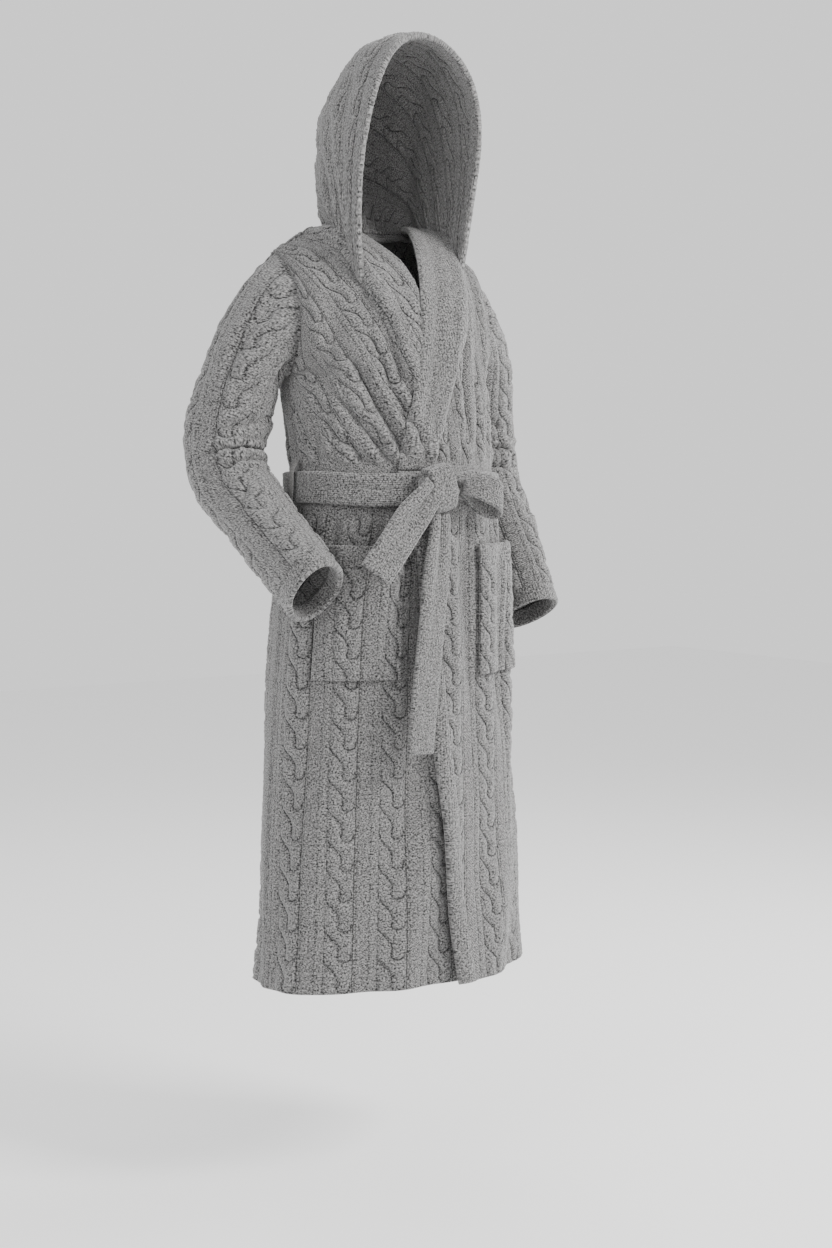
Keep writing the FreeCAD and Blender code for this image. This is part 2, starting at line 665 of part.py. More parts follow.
def make_trim():
    inside = moved(back_body, -CLOTH - SEAM_GAP)
    half = NECK_TAPE_HALF_ANGLE
    keep("neck_tape", sheet(inside, (-half, half), (2.72, TOP_ROW), 8, 4, TRIM_CLOTH))
    narrow = LABEL_HALF_ANGLE
    keep("care_label", sheet(inside, (-narrow, narrow), (2.45, 2.7), 3, 4, LABEL_CLOTH))

    outer = Part.makeBox(HANGER_WIDTH, TRIM_CLOTH, HANGER_DROP)
    hole = Part.makeBox(HANGER_WIDTH - 2.0 * HANGER_STRAP, TRIM_CLOTH, HANGER_DROP - HANGER_STRAP)
    hole.translate(Vector(HANGER_STRAP, 0.0, HANGER_STRAP))
    lower = [e for e in outer.Edges if abs(e.CenterOfMass.z) < 1e-6 and e.Length < TRIM_CLOTH + 1e-6]
    outer = outer.makeFillet(HANGER_STRAP, lower)
    loop = outer.cut(hole)
    loop.translate(Vector(-HANGER_WIDTH / 2.0, HANGER_Y, -HANGER_DROP - HANGER_TOP_DROP))
    keep("hanging_loop", loop)


os.makedirs("parts", exist_ok=True)
make_fronts()
make_pockets()
make_belt()
make_sleeve("left", LEFT_ELBOW, LEFT_WRIST, LEFT_BEND_MIN, LEFT_BEND_MAX)
make_sleeve("right", RIGHT_ELBOW, RIGHT_WRIST, RIGHT_BEND_MIN, RIGHT_BEND_MAX)
make_hood()
make_trim()
print(len(NAMES), "pieces")
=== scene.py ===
import bpy
import json
import math
import numpy as np
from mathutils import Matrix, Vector


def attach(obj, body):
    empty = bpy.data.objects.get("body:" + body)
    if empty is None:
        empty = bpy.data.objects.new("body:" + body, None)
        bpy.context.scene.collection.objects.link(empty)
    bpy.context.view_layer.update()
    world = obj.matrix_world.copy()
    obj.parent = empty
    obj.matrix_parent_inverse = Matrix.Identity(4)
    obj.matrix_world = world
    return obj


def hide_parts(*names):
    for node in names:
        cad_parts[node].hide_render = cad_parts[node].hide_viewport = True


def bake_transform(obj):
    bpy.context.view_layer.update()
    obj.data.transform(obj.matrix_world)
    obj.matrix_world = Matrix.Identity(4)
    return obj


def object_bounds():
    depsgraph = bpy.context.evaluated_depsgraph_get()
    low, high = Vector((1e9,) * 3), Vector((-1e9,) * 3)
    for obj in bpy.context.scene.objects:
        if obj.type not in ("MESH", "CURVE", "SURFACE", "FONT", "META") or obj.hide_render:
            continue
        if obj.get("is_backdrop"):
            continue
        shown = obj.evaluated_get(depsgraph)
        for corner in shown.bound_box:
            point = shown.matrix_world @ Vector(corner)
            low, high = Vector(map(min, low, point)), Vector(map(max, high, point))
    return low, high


# Looks of a hooded bathrobe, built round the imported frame.  Lengths are millimetres until a mesh
# is made, and metres from there on.  The robe faces -Y and the wearer's left is +X.

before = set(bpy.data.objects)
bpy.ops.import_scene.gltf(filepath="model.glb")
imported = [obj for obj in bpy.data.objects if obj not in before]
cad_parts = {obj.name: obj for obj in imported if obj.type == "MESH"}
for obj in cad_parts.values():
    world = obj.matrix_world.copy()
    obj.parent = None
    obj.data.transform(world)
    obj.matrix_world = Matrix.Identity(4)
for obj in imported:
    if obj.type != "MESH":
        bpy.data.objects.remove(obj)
START_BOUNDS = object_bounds()
MM = 0.001
rng = np.random.default_rng(11)

# ---------------------------------------------------------------- sizes shared with the frame
BACK_LENGTH, HIP_DROP, WAIST_DROP, ARMPIT_DROP, SHOULDER_DROP = 1240.0, 640.0, 430.0, 250.0, 50.0
CHEST_HALF_WIDTH, SHOULDER_HALF_WIDTH = 181.0, 186.0
CHEST_HALF_DEPTH, CHEST_CENTRE_Y, WAIST_CENTRE_Y = 140.0, -67.0, -95.0
SHOULDER_TIP_Y, FRONT_NECK_Y, ARMHOLE_HALF_DEPTH = -22.0, -34.0, 58.0
SEAM_GAP, LAYER_GAP, CLOTH = 3.0, 2.5, 5.0
BODY_Z = (-BACK_LENGTH, -HIP_DROP, -WAIST_DROP, -ARMPIT_DROP)
BODY_HALF_WIDTH = (250.0, 210.0, 178.0, CHEST_HALF_WIDTH)
BODY_HALF_DEPTH = (152.0, 149.0, 145.0, CHEST_HALF_DEPTH)
BODY_CENTRE_Y = (-90.0, -88.0, WAIST_CENTRE_Y, CHEST_CENTRE_Y)
LEFT_EDGE = ((0.0, 23.0), (0.46, -22.0), (0.86, -48.0), (1.0, -80.0), (2.0, -28.0), (2.5, 10.0),
             (3.0, 62.0))
RIGHT_EDGE = ((0.0, 120.0), (1.0, 85.0), (2.0, 30.0), (2.5, -10.0), (3.0, -62.0))
BAND_WIDTHS = ((0.0, 32.0), (0.8, 32.0), (1.0, 52.0), (2.0, 72.0), (3.0, 72.0))
LAP_START, LAP_END = 72.0, 33.0
SIDE_OVERLAP = 0.5
TOP_ROW = 2.98
YOKE_LENGTH = 335.0         # along the cloth from the armpit row to the neck seam

# ---------------------------------------------------------------- knit
PITCH = 80.0                # from one cable column to the next
PERIOD = 48.8               # one turn of the cable
CABLE_WIDTH = 43.0
CABLE_HEIGHT = 3.6
SWEEP_TOP, SWEEP_LENGTH, SWEEP_REACH = 8.0, 38.0, 11.0      # the groove that crosses to the middle
HOOK_ACROSS, HOOK_DOWN, HOOK_RADIUS, HOOK_RISE = 30.0, 56.0, 9.8, -3.0      # and curls round the lobe
CELL = 3.4                  # size of one face of the cloth meshes


def mix(a, b, t):
    return a + (b - a) * t


def ease(t):
    t = np.clip(t, 0.0, 1.0)
    return t * t * (3.0 - 2.0 * t)


def arch(share):
    """A half round over shares 0 to 1, 1 in the middle."""
    return np.sqrt(np.maximum(1 - (2 * share - 1) ** 2, 0))


def run_along(path):
    """Millimetres travelled along a path, at each of its points."""
    return np.concatenate([[0], np.cumsum(np.linalg.norm(np.diff(path, axis=0), axis=1))])


def sense(values):
    """The sign of a sum: which of its two faces a surface's normals point out of."""
    return float(np.sign(np.sum(values)))


def through(stations, at):
    """Smooth curve through (position, value) pairs, for arrays."""
    xs = np.array([s[0] for s in stations], float)
    ys = np.array([s[1] for s in stations], float)
    at = np.asarray(at, float)
    k = np.clip(np.searchsorted(xs, at, side="left") - 1, 0, len(xs) - 2)
    low = np.maximum(np.arange(len(xs)) - 1, 0)
    high = np.minimum(np.arange(len(xs)) + 1, len(xs) - 1)
    slopes = (ys[high] - ys[low]) / (xs[high] - xs[low])
    span = xs[k + 1] - xs[k]
    s = (at - xs[k]) / span
    start = (2 * s ** 3 - 3 * s ** 2 + 1) * ys[k] + (s ** 3 - 2 * s ** 2 + s) * span * slopes[k]
    return start + (3 * s ** 2 - 2 * s ** 3) * ys[k + 1] + (s ** 3 - s ** 2) * span * slopes[k + 1]


# ---------------------------------------------------------------- body surface

def height_at(row):
    row = np.asarray(row, float)
    return np.where(row < 1.0, mix(-BACK_LENGTH, -WAIST_DROP, row),
                    mix(-WAIST_DROP, -ARMPIT_DROP, row - 1.0))


def row_at(z):
    if z < -WAIST_DROP:
        return (z + BACK_LENGTH) / (BACK_LENGTH - WAIST_DROP)
    return 1.0 + (z + WAIST_DROP) / (WAIST_DROP - ARMPIT_DROP)


def row_shape(row, front):
    facing = -1.0 if front else 1.0
    row = np.asarray(row, float)
    z = height_at(np.minimum(row, 2.0))
    centre = through(tuple(zip(BODY_Z, BODY_CENTRE_Y)), z)
    low_half = through(tuple(zip(BODY_Z, BODY_HALF_WIDTH)), z)
    low_middle = centre + facing * through(tuple(zip(BODY_Z, BODY_HALF_DEPTH)), z)
    rise = np.clip(row - 2.0, 0.0, 1.0)
    half = mix(CHEST_HALF_WIDTH, SHOULDER_HALF_WIDTH, ease(rise))
    side_y = mix(CHEST_CENTRE_Y, SHOULDER_TIP_Y, rise)
    side_y = side_y + facing * (ARMHOLE_HALF_DEPTH * np.abs(np.sin(math.pi * rise)) ** 1.5 + SEAM_GAP * rise)
    side_z = -(ARMPIT_DROP + SHOULDER_DROP) / 2 - (ARMPIT_DROP - SHOULDER_DROP) / 2 * np.cos(math.pi * rise)
    top_y = FRONT_NECK_Y if front else 0.0
    chest_y = CHEST_CENTRE_Y + facing * CHEST_HALF_DEPTH
    middle_y = top_y + (chest_y - top_y) * np.cos(math.pi / 2 * rise)
    middle_z = -ARMPIT_DROP + ARMPIT_DROP * np.sin(math.pi / 2 * rise)
    up = row > 2.0
    return (np.where(up, half, low_half), np.where(up, side_y, centre), np.where(up, middle_y, low_middle),
            np.where(up, side_z, z), np.where(up, middle_z, z))


def body(angle, row, front):
    half, side_y, middle_y, side_z, middle_z = row_shape(row, front)
    across, ahead = np.sin(np.radians(angle)), np.cos(np.radians(angle))
    return np.stack([half * across, side_y + (middle_y - side_y) * ahead,
                     side_z + (middle_z - side_z) * ahead ** 2], -1)


def angle_of(x, row):
    return np.degrees(np.arcsin(np.clip(x / row_shape(row, True)[0], -1, 1)))


def side_angle(row):
    """The fronts and the back pass each other a little at the side seam."""
    return 90.0 + SIDE_OVERLAP + 0.0 * row


def lap_depth(angle):
    return -(CLOTH + LAYER_GAP) * ease((angle + LAP_START) / (LAP_START - LAP_END))


_angles = np.radians(np.linspace(-100.0, 100.0, 401))
_steps = np.hypot(BODY_HALF_WIDTH[1] * np.cos(_angles), BODY_HALF_DEPTH[1] * np.sin(_angles))
_steps = _steps * (_angles[1] - _angles[0])
_arc = np.cumsum(_steps) - _steps.sum() / 2


def across_cloth(angle):
    """Millimetres of cloth from the middle of the front or back, measured at the hips."""
    return np.interp(np.radians(angle), _angles, _arc)


def down_cloth(row):
    """Millimetres of cloth below the armpit row's own height, all the way up to the neck."""
    row = np.asarray(row, float)
    return np.where(row <= 2.0, -height_at(np.minimum(row, 2.0)), ARMPIT_DROP - YOKE_LENGTH * (row - 2.0))


# ---------------------------------------------------------------- folds

def crease(u, v, start, end, width, depth):
    """A fold line from start to end: a groove with a soft roll on both sides."""
    (a, b), (c, d) = start, end
    length = math.hypot(c - a, d - b)
    along = ((u - a) * (c - a) + (v - b) * (d - b)) / length
    off = ((u - a) * (d - b) - (v - b) * (c - a)) / length
    fade = ease(along / (0.3 * length)) * ease((length - along) / (0.35 * length))
    side = np.abs(off)
    rolls = 0.55 * np.exp(-((side - 2.0 * width) / (1.3 * width)) ** 2)
    return fade * depth * (-np.exp(-(off / width) ** 2) + rolls)


def waves(u, v, seed):
    """Slow, irregular undulation between about -1 and 1."""
    total = 0.0
    for k, (wu, wv) in enumerate(((1 / 150.0, 1 / 900.0), (1 / 87.0, 1 / 530.0), (1 / 231.0, 1 / 310.0))):
        total = total + np.sin(2 * math.pi * (u * wu + v * wv) + seed * (1.7 + 2.3 * k)) * (0.6, 0.3, 0.35)[k]
    return total


def cable_parts(u, v):
    """Distance to the nearest groove of the cable, and the place across one column."""
    x = np.mod(u, PITCH)
    y = np.mod(v, PERIOD)
    d = np.full_like(x, 99.0)
    for shift in (0.0, PERIOD):
        down = y + shift
        s = np.clip((down - SWEEP_TOP) / SWEEP_LENGTH, 0.0, 1.0) - 0.5
        centre = SWEEP_REACH * (1.0 + np.sin(math.pi * s))
        slope = SWEEP_REACH * math.pi / SWEEP_LENGTH * np.cos(math.pi * s)
        sweep = np.abs(x - centre) / np.sqrt(1.0 + slope ** 2)
        d = np.minimum(d, np.hypot(sweep, np.maximum(0.0, down - HOOK_DOWN)))
        limit = HOOK_RISE * np.clip((x - HOOK_ACROSS + HOOK_RADIUS) / (2 * HOOK_RADIUS), 0.0, 1.0)
        low = down - HOOK_DOWN
        around = np.hypot(x - HOOK_ACROSS, low) - HOOK_RADIUS
        d = np.minimum(d, np.hypot(around, np.maximum(0.0, limit - low)))
    d = np.minimum(d, np.abs(x - CABLE_WIDTH))
    d = np.minimum(d, np.minimum(x, PITCH - x) + 0.5)
    return d, x


def cable(u, v):
    """Height of the knit above its ground, 0 to CABLE_HEIGHT."""
    d, x = cable_parts(u, v)
    lobe = CABLE_HEIGHT * (1.0 - np.exp(-(d / 4.6) ** 2))
    strip = 1.9 * np.exp(-((x - 73.5) / 4.2) ** 4)
    pearl = 0.9 * ease((x - 44.0) / 3.0) * ease((69.0 - x) / 3.0)
    return np.where(x < CABLE_WIDTH, lobe, np.maximum(strip, pearl))


# ---------------------------------------------------------------- meshes

def stations(length, cell=CELL, fine=True):
    """Shares 0 to 1 along an edge: short steps at both ends, where the cloth is rounded."""
    count = max(int(round(length / cell)), 3)
    inner = np.linspace(0.0, 1.0, count + 1)
    if not fine:
        return inner
    ends = np.array([0.5, 1.6]) / length
    return np.concatenate([[0.0], ends, inner[1:-1], 1.0 - ends[::-1], [1.0]])


def normals(base, wrap):
    if wrap:
        padded = np.concatenate([base[-2:-1], base, base[1:2]], 0)
        di = np.gradient(padded, axis=0)[1:-1]
    else:
        di = np.gradient(base, axis=0)
    dj = np.gradient(base, axis=1)
    n = np.cross(di, dj)
    return n / np.maximum(np.linalg.norm(n, axis=-1, keepdims=True), 1e-9)


def edge_distance(base, wrap):
    def runs(axis):
        steps = np.linalg.norm(np.diff(base, axis=axis), axis=-1)
        zero = np.zeros_like(np.take(steps, [0], axis=axis))
        total = np.concatenate([zero, np.cumsum(steps, axis=axis)], axis=axis)
        return np.minimum(total, np.take(total, [-1], axis=axis) - total)
    across = runs(1)
    return across if wrap else np.minimum(across, runs(0))


def cloth(name, base, uv, material, thick=CLOTH, outer=0.0, inner=0.0, mask=1.0, side=1.0, wrap=False,
          radius=4.0, fuzz=0.45):
    """One piece of cloth.  base is its middle surface (n, m, 3); outer and inner are added to each face."""
    n, m = base.shape[:2]
    normal = normals(base, wrap) * side
    k = np.clip(edge_distance(base, wrap) / radius, 0.0, 1.0)
    k = np.sqrt(np.maximum(1.0 - (1.0 - k) ** 2, 0.0))
    grain = rng.normal(0.0, fuzz, (2, n, m))
    if wrap:
        grain[:, -1] = grain[:, 0]
    up = (0.5 * thick + outer + grain[0]) * k
    down = (0.5 * thick + inner + grain[1]) * k
    front = base + normal * up[..., None]
    back = base - normal * down[..., None]
    kept = n - 1 if wrap else n
    points = np.concatenate([front[:kept].reshape(-1, 3), back[:kept].reshape(-1, 3)]) * MM
    ids = np.arange(n * m).reshape(n, m)
    a, b, c, d = ids[:-1, :-1], ids[1:, :-1], ids[1:, 1:], ids[:-1, 1:]
    quads = np.stack([a, b, c, d], -1).reshape(-1, 4)
    faces = [quads, quads[:, ::-1] + n * m]

    def rim(line, turned):
        strip_faces = np.stack([line[:-1], line[:-1] + n * m, line[1:] + n * m, line[1:]], -1)
        faces.append(strip_faces[:, ::-1] if turned else strip_faces)

    rim(ids[:, 0], False)
    rim(ids[:, -1], True)
    if not wrap:
        rim(ids[0, :], True)
        rim(ids[-1, :], False)
    faces = np.concatenate(faces)
    if side < 0:
        faces = faces[:, ::-1]
    corners = np.where(faces >= n * m, (faces - n * m) % (kept * m) + kept * m, faces % (kept * m))
    uvs = np.concatenate([uv.reshape(-1, 2), uv.reshape(-1, 2)]) * MM
    masks = np.broadcast_to(mask, (n, m))[:kept].reshape(-1)
    return make_mesh(name, points, corners, uvs[faces.ravel()], np.concatenate([masks, masks]), material)


def make_mesh(name, points, faces, uvs, masks, material):
    name = name + "_cloth"
    mesh = bpy.data.meshes.new(name)
    mesh.vertices.add(len(points))
    mesh.vertices.foreach_set("co", points.astype(np.float32).ravel())
    mesh.loops.add(faces.size)
    mesh.loops.foreach_set("vertex_index", faces.astype(np.int32).ravel())
    mesh.polygons.add(len(faces))
    mesh.polygons.foreach_set("loop_start", (np.arange(len(faces)) * 4).astype(np.int32))
    mesh.update(calc_edges=True)
    layer = mesh.uv_layers.new(name="cloth")
    layer.data.foreach_set("uv", uvs.astype(np.float32).ravel())
    relief = mesh.attributes.new("relief", "FLOAT", "POINT")
    relief.data.foreach_set("value", masks.astype(np.float32))
    mesh.materials.append(material)
    mesh.polygons.foreach_set("use_smooth", np.ones(len(faces), bool))
    mesh.update()
    obj = bpy.data.objects.new(name, mesh)
    bpy.context.scene.collection.objects.link(obj)
    return obj


# ---------------------------------------------------------------- materials

class Wire:
    """A number in a node tree, so that a formula can be written as a formula."""

    def __init__(self, tree, socket):
        self.tree = tree
        self.socket = socket

    def make(self, operation, *others):
        node = self.tree.nodes.new("ShaderNodeMath")
        node.operation = operation
        self.tree.links.new(self.socket, node.inputs[0])
        for place, other in enumerate(others):
            if isinstance(other, Wire):
                self.tree.links.new(other.socket, node.inputs[place + 1])
            else:
                node.inputs[place + 1].default_value = other
        return Wire(self.tree, node.outputs[0])

    def __add__(self, other):
        return self.make("ADD", other)

    def __sub__(self, other):
        return self.make("SUBTRACT", other)

    def __mul__(self, other):
        return self.make("MULTIPLY", other)

    def __truediv__(self, other):
        return self.make("DIVIDE", other)

    def less(self, other):
        return self.make("MINIMUM", other)

    def more(self, other):
        return self.make("MAXIMUM", other)

    def size(self):
        return self.make("ABSOLUTE")

    def root(self):
        return self.make("SQRT")

    def bell(self, width):
        """1 at zero, falling off over a width."""
        return (((self / width) * (self / width)) * -1.0).make("EXPONENT")


def noise(tree, scale, detail=2.0, rough=0.5, offset=0.0):
    node = tree.nodes.new("ShaderNodeTexNoise")
    node.noise_dimensions = "3D"
    node.inputs["Scale"].default_value = scale
    node.inputs["Detail"].default_value = detail
    node.inputs["Roughness"].default_value = rough
    shift = tree.nodes.new("ShaderNodeVectorMath")
    shift.operation = "ADD"
    shift.inputs[1].default_value = (offset, 0.37 * offset, 1.1 * offset)
    uv = tree.nodes.new("ShaderNodeUVMap")
    uv.uv_map = "cloth"
    tree.links.new(uv.outputs[0], shift.inputs[0])
    tree.links.new(shift.outputs[0], node.inputs["Vector"])
    return Wire(tree, node.outputs["Fac"])


def knit_material(name, low, high, cabled, ribs=0.0, grain=1.0, sheen=0.35):
    material = bpy.data.materials.new(name)
    material.use_nodes = True
    tree = material.node_tree
    shader = tree.nodes["Principled BSDF"]
    shader.inputs["Roughness"].default_value = 0.95
    shader.inputs["Specular IOR Level"].default_value = 0.12
    shader.inputs["Sheen Weight"].default_value = sheen
    shader.inputs["Sheen Roughness"].default_value = 0.55
    uv = tree.nodes.new("ShaderNodeUVMap")
    uv.uv_map = "cloth"
    split = tree.nodes.new("ShaderNodeSeparateXYZ")
    tree.links.new(uv.outputs[0], split.inputs[0])
    u = Wire(tree, split.outputs[0]) * 1000.0
    v = Wire(tree, split.outputs[1]) * 1000.0
    loops = noise(tree, 300.0, 2.0, 0.6, 1.0)
    flecks = noise(tree, 420.0, 1.0, 0.5, 5.0)
    patches = noise(tree, 60.0, 2.0, 0.5, 9.0)
    height = (loops - 0.5) * (1.5 * grain)
    painted_shade = None
    if cabled:
        x = u.make("FLOORED_MODULO", PITCH)
        y = v.make("FLOORED_MODULO", PERIOD)
        d = (x * 0.0) + 99.0
        for shift in (0.0, PERIOD):
            down = y + shift
            s = ((down - SWEEP_TOP) / SWEEP_LENGTH).more(0.0).less(1.0) - 0.5
            centre = (s * math.pi).make("SINE") * SWEEP_REACH + SWEEP_REACH
            slope = (s * math.pi).make("COSINE") * (SWEEP_REACH * math.pi / SWEEP_LENGTH)
            sweep = (x - centre).size() / (slope * slope + 1.0).root()
            beneath = down - HOOK_DOWN
            past = beneath.more(0.0)
            d = d.less((sweep * sweep + past * past).root())
            off = x - HOOK_ACROSS
            limit = ((off + HOOK_RADIUS) / (2 * HOOK_RADIUS)).more(0.0).less(1.0) * HOOK_RISE
            around = (off * off + beneath * beneath).root() - HOOK_RADIUS
            over = (limit - beneath).more(0.0)
            d = d.less((around * around + over * over).root())
        d = d.less((x - CABLE_WIDTH).size())
        d = d.less(x + 1.2)
        attribute = tree.nodes.new("ShaderNodeAttribute")
        attribute.attribute_name = "relief"
        shown = Wire(tree, attribute.outputs["Fac"])
        outside = (x - CABLE_WIDTH).more(0.0).less(1.0)
        edge_lines = (x - 46.5).size().bell(1.3) + (x - 67.0).size().bell(1.3)
        pearls = ((u * (2 * math.pi / 5.2)).make("SINE")) * ((v * (2 * math.pi / 4.6)).make("SINE"))
        pearl_band = ((x - 57.0).size() * -1.0 + 10.0).more(0.0).less(1.0)
        groove = (d.bell(1.7) * (outside * -1.0 + 1.0)) * 0.95 + (x - CABLE_WIDTH).size().bell(1.4) * 0.3
        groove = groove.less(1.0)
        # painted shade: the cable's grooves and the lines at the pearl band's edges are darkened in the colour,
        # standing in for the shade that falls in them
        painted_shade = (groove * 0.5 + edge_lines * 0.22) * shown
        height = height - groove * shown * 2.2 - edge_lines * shown * 0.8
        height = height + pearls * pearl_band * shown * 0.55
    if ribs:
        lines = ((u * (2 * math.pi / ribs)).make("SINE")).make("ABSOLUTE")
        height = height + lines * 0.7
        # painted shade: the valleys between the ribs are darkened in the colour
        painted_shade = ((lines * -1.0 + 1.0).make("POWER", 4.0)) * 0.35
    bump = tree.nodes.new("ShaderNodeBump")
    bump.inputs["Strength"].default_value = 0.9
    bump.inputs["Distance"].default_value = 0.001
    tree.links.new(height.socket, bump.inputs["Height"])
    tree.links.new(bump.outputs[0], shader.inputs["Normal"])
    share = ((loops - 0.5) * 2.2 + (flecks - 0.5) * 2.2 + (patches - 0.5) * 0.4) + 0.5
    # the painted shade darkens the melange towards LOW
    if painted_shade is not None:
        share = share - painted_shade * 0.75
    ramp = tree.nodes.new("ShaderNodeMix")
    ramp.data_type = "RGBA"
    ramp.inputs["A"].default_value = (*low, 1.0)
    ramp.inputs["B"].default_value = (*high, 1.0)
    clamp = share.more(0.0).less(1.0)
    tree.links.new(clamp.socket, ramp.inputs["Factor"])
    tree.links.new(ramp.outputs["Result"], shader.inputs["Base Color"])
    return material


# LOW is the melange's darkest flecks and also the colour that the painted shade in grooves and rib valleys darkens
# towards
LOW = (0.012, 0.012, 0.0122)
HIGH = (0.27, 0.266, 0.264)
KNIT = knit_material("cable_plush", LOW, HIGH, True)
PLAIN = knit_material("plain_band", LOW, HIGH, False, ribs=9.0)
BELT = knit_material("belt_plush", LOW, HIGH, False, ribs=6.5, grain=1.2)
TAPE = knit_material("trim_tape", (0.10, 0.10, 0.10), (0.22, 0.215, 0.21), False, grain=0.3, sheen=0.1)
SATIN = knit_material("label_satin", (0.62, 0.61, 0.60), (0.78, 0.77, 0.76), False, grain=0.1, sheen=0.3)


def add(obj, body_name, nodes):
    """Hide the frame's parts that a piece stands for and parent it to the body it rides on; a piece given a tuple
    of bodies only has its transform baked in.
    """
    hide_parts(*nodes)
    if isinstance(body_name, tuple):
        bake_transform(obj)
    else:
        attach(obj, body_name)
    return obj


# ---------------------------------------------------------------- robe body
WAIST_V = WAIST_DROP
SHEAR = math.tan(math.radians(25.0))
HEM_STITCH = 24.0
SEAM_FROM_ROW = 2.75         # the fronts and the back come together above this row
SEAM_OVERLAP = 2.5
NECK_RISE = 13.0            # how far the cloth stands up on the slope of the shoulder


def rows_list(low, high, cell=CELL):
    """Rows from low to high, a cell of cloth apart, with short steps at both ends."""
    marks = [low] + [r for r in (1.0, 2.0) if low < r < high] + [high]
    parts = []
    for a, b in zip(marks[:-1], marks[1:]):
        length = abs(float(down_cloth(b) - down_cloth(a)))
        count = max(int(round(length / cell)), 2)
        parts.append(np.linspace(a, b, count + 1)[:-1])
    rows = np.concatenate(parts + [[high]])
    total = abs(float(down_cloth(high) - down_cloth(low)))
    slip = (high - low) / total
    return np.concatenate([[rows[0], rows[0] + 0.5 * slip, rows[0] + 1.6 * slip], rows[1:-1],
                           [rows[-1] - 1.6 * slip, rows[-1] - 0.5 * slip, rows[-1]]])


def at_waist(row):
    """1 under the belt, fading out above and below it."""
    z = np.abs(down_cloth(row) - WAIST_V)
    return 1.0 - ease((z - 27.0) / 30.0)


def drape(angle, row, front):
    """Outward displacement shared by every layer of the body: undulation, gathers and drag folds."""
    u = across_cloth(angle)
    v = down_cloth(row)
    below = np.clip((v - WAIST_V) / (BACK_LENGTH - WAIST_V), 0.0, 1.0)
    above = np.clip((WAIST_V - v) / WAIST_V, 0.0, 1.0)
    total = 9.0 * waves(u, v, 1.0 if front else 4.0) * ease(below * 1.3) * (0.35 + 0.65 * below)
    gather = np.sin(2 * math.pi * u / 37.0 + 1.3 * np.sin(u / 41.0) + (0.0 if front else 1.1))
    near = np.exp(-((v - WAIST_V - 30.0) / 75.0) ** 2) + np.exp(-((v - WAIST_V + 28.0) / 55.0) ** 2)
    total = total + 3.2 * gather * near * (1.0 - at_waist(row))
    total = total + 4.0 * waves(u * 1.3, v * 1.6, 8.0) * ease(above * 2.5)
    for start, end, width, depth in FRONT_FOLDS if front else BACK_FOLDS:
        total = total + crease(u, v, start, end, width, depth)
    total = total * ease((90.0 - np.abs(angle)) / 16.0) * ease((TOP_ROW - row) / 0.15)
    return total * (1.0 - at_waist(row))


# fold lines: start and end as (across, down) in cloth millimetres, half width and depth
FRONT_FOLDS = (
    ((-175.0, 180.0), (-55.0, 405.0), 9.0, 9.0), ((-130.0, 150.0), (-25.0, 400.0), 8.0, 6.0),
    ((-205.0, 260.0), (-80.0, 412.0), 8.0, 9.0), ((-220.0, 330.0), (-110.0, 415.0), 8.0, 7.0),
    ((95.0, 120.0), (70.0, 408.0), 9.0, 7.0), ((140.0, 190.0), (105.0, 405.0), 8.0, 6.0),
    ((190.0, 230.0), (150.0, 410.0), 9.0, 7.0),
    ((-60.0, 450.0), (-95.0, 700.0), 12.0, 5.0), ((40.0, 455.0), (60.0, 820.0), 14.0, 6.0),
    ((120.0, 450.0), (150.0, 900.0), 16.0, 7.0), ((-190.0, 450.0), (-215.0, 760.0), 14.0, 5.0),
)
BACK_FOLDS = (
    ((-90.0, 455.0), (-120.0, 900.0), 16.0, 8.0), ((30.0, 450.0), (20.0, 1000.0), 17.0, 8.0),
    ((140.0, 450.0), (175.0, 950.0), 16.0, 8.0), ((-150.0, 200.0), (-90.0, 410.0), 10.0, 7.0),
    ((150.0, 190.0), (85.0, 410.0), 10.0, 7.0), ((0.0, 230.0), (0.0, 412.0), 9.0, 5.0),
)


def hem_line(v):
    """The stitched hem: a shallow groove above the edge."""
    return -1.6 * np.exp(-((v - (BACK_LENGTH - HEM_STITCH)) / 2.2) ** 2)


def body_piece(name, angle_low, angle_high, rows, front, offset, width, knit, material, side, thick=CLOTH,
               extra=None, cell=CELL, shift=0.0):
    """A piece that lies on the body between two angles at each row."""
    shares = stations(width, cell)
    share, row = np.meshgrid(shares, rows, indexing="ij")
    low, high = angle_low(row), angle_high(row)
    angle = mix(low, high, share)
    base = body(angle, row, front)
    slope = ease((row - 2.5) / 0.4) * np.exp(-((np.abs(angle) - 38.0) / 22.0) ** 2)
    base[..., 2] += NECK_RISE * slope
    own, other = body(angle, TOP_ROW, front)[..., 1], body(angle, TOP_ROW, not front)[..., 1]
    meet = ease((row - SEAM_FROM_ROW) / (TOP_ROW - SEAM_FROM_ROW))
    meet = meet * ease((np.abs(base[..., 0]) - 50.0) / 30.0)
    base[..., 1] += meet * (0.5 * (other - own) + (SEAM_OVERLAP if front else -SEAM_OVERLAP))
    normal = normals(base, False) * side
    lift = drape(angle, row, front) + offset(angle, row) - 0.5 * thick
    base = base + normal * lift[..., None]
    u = across_cloth(angle) + shift
    v = down_cloth(row)
    uv = np.stack([u, v], -1)
    mask = np.zeros_like(u)
    outer = np.zeros_like(u)
    if knit:
        uv, mask = knit(angle, row, u, v)
        outer = cable(uv[..., 0], uv[..., 1]) * mask + hem_line(v)
    if extra:
        outer = outer + extra(share, row, u, v)
    return cloth(name, base, uv, material, thick=thick, outer=outer, mask=mask, side=side)


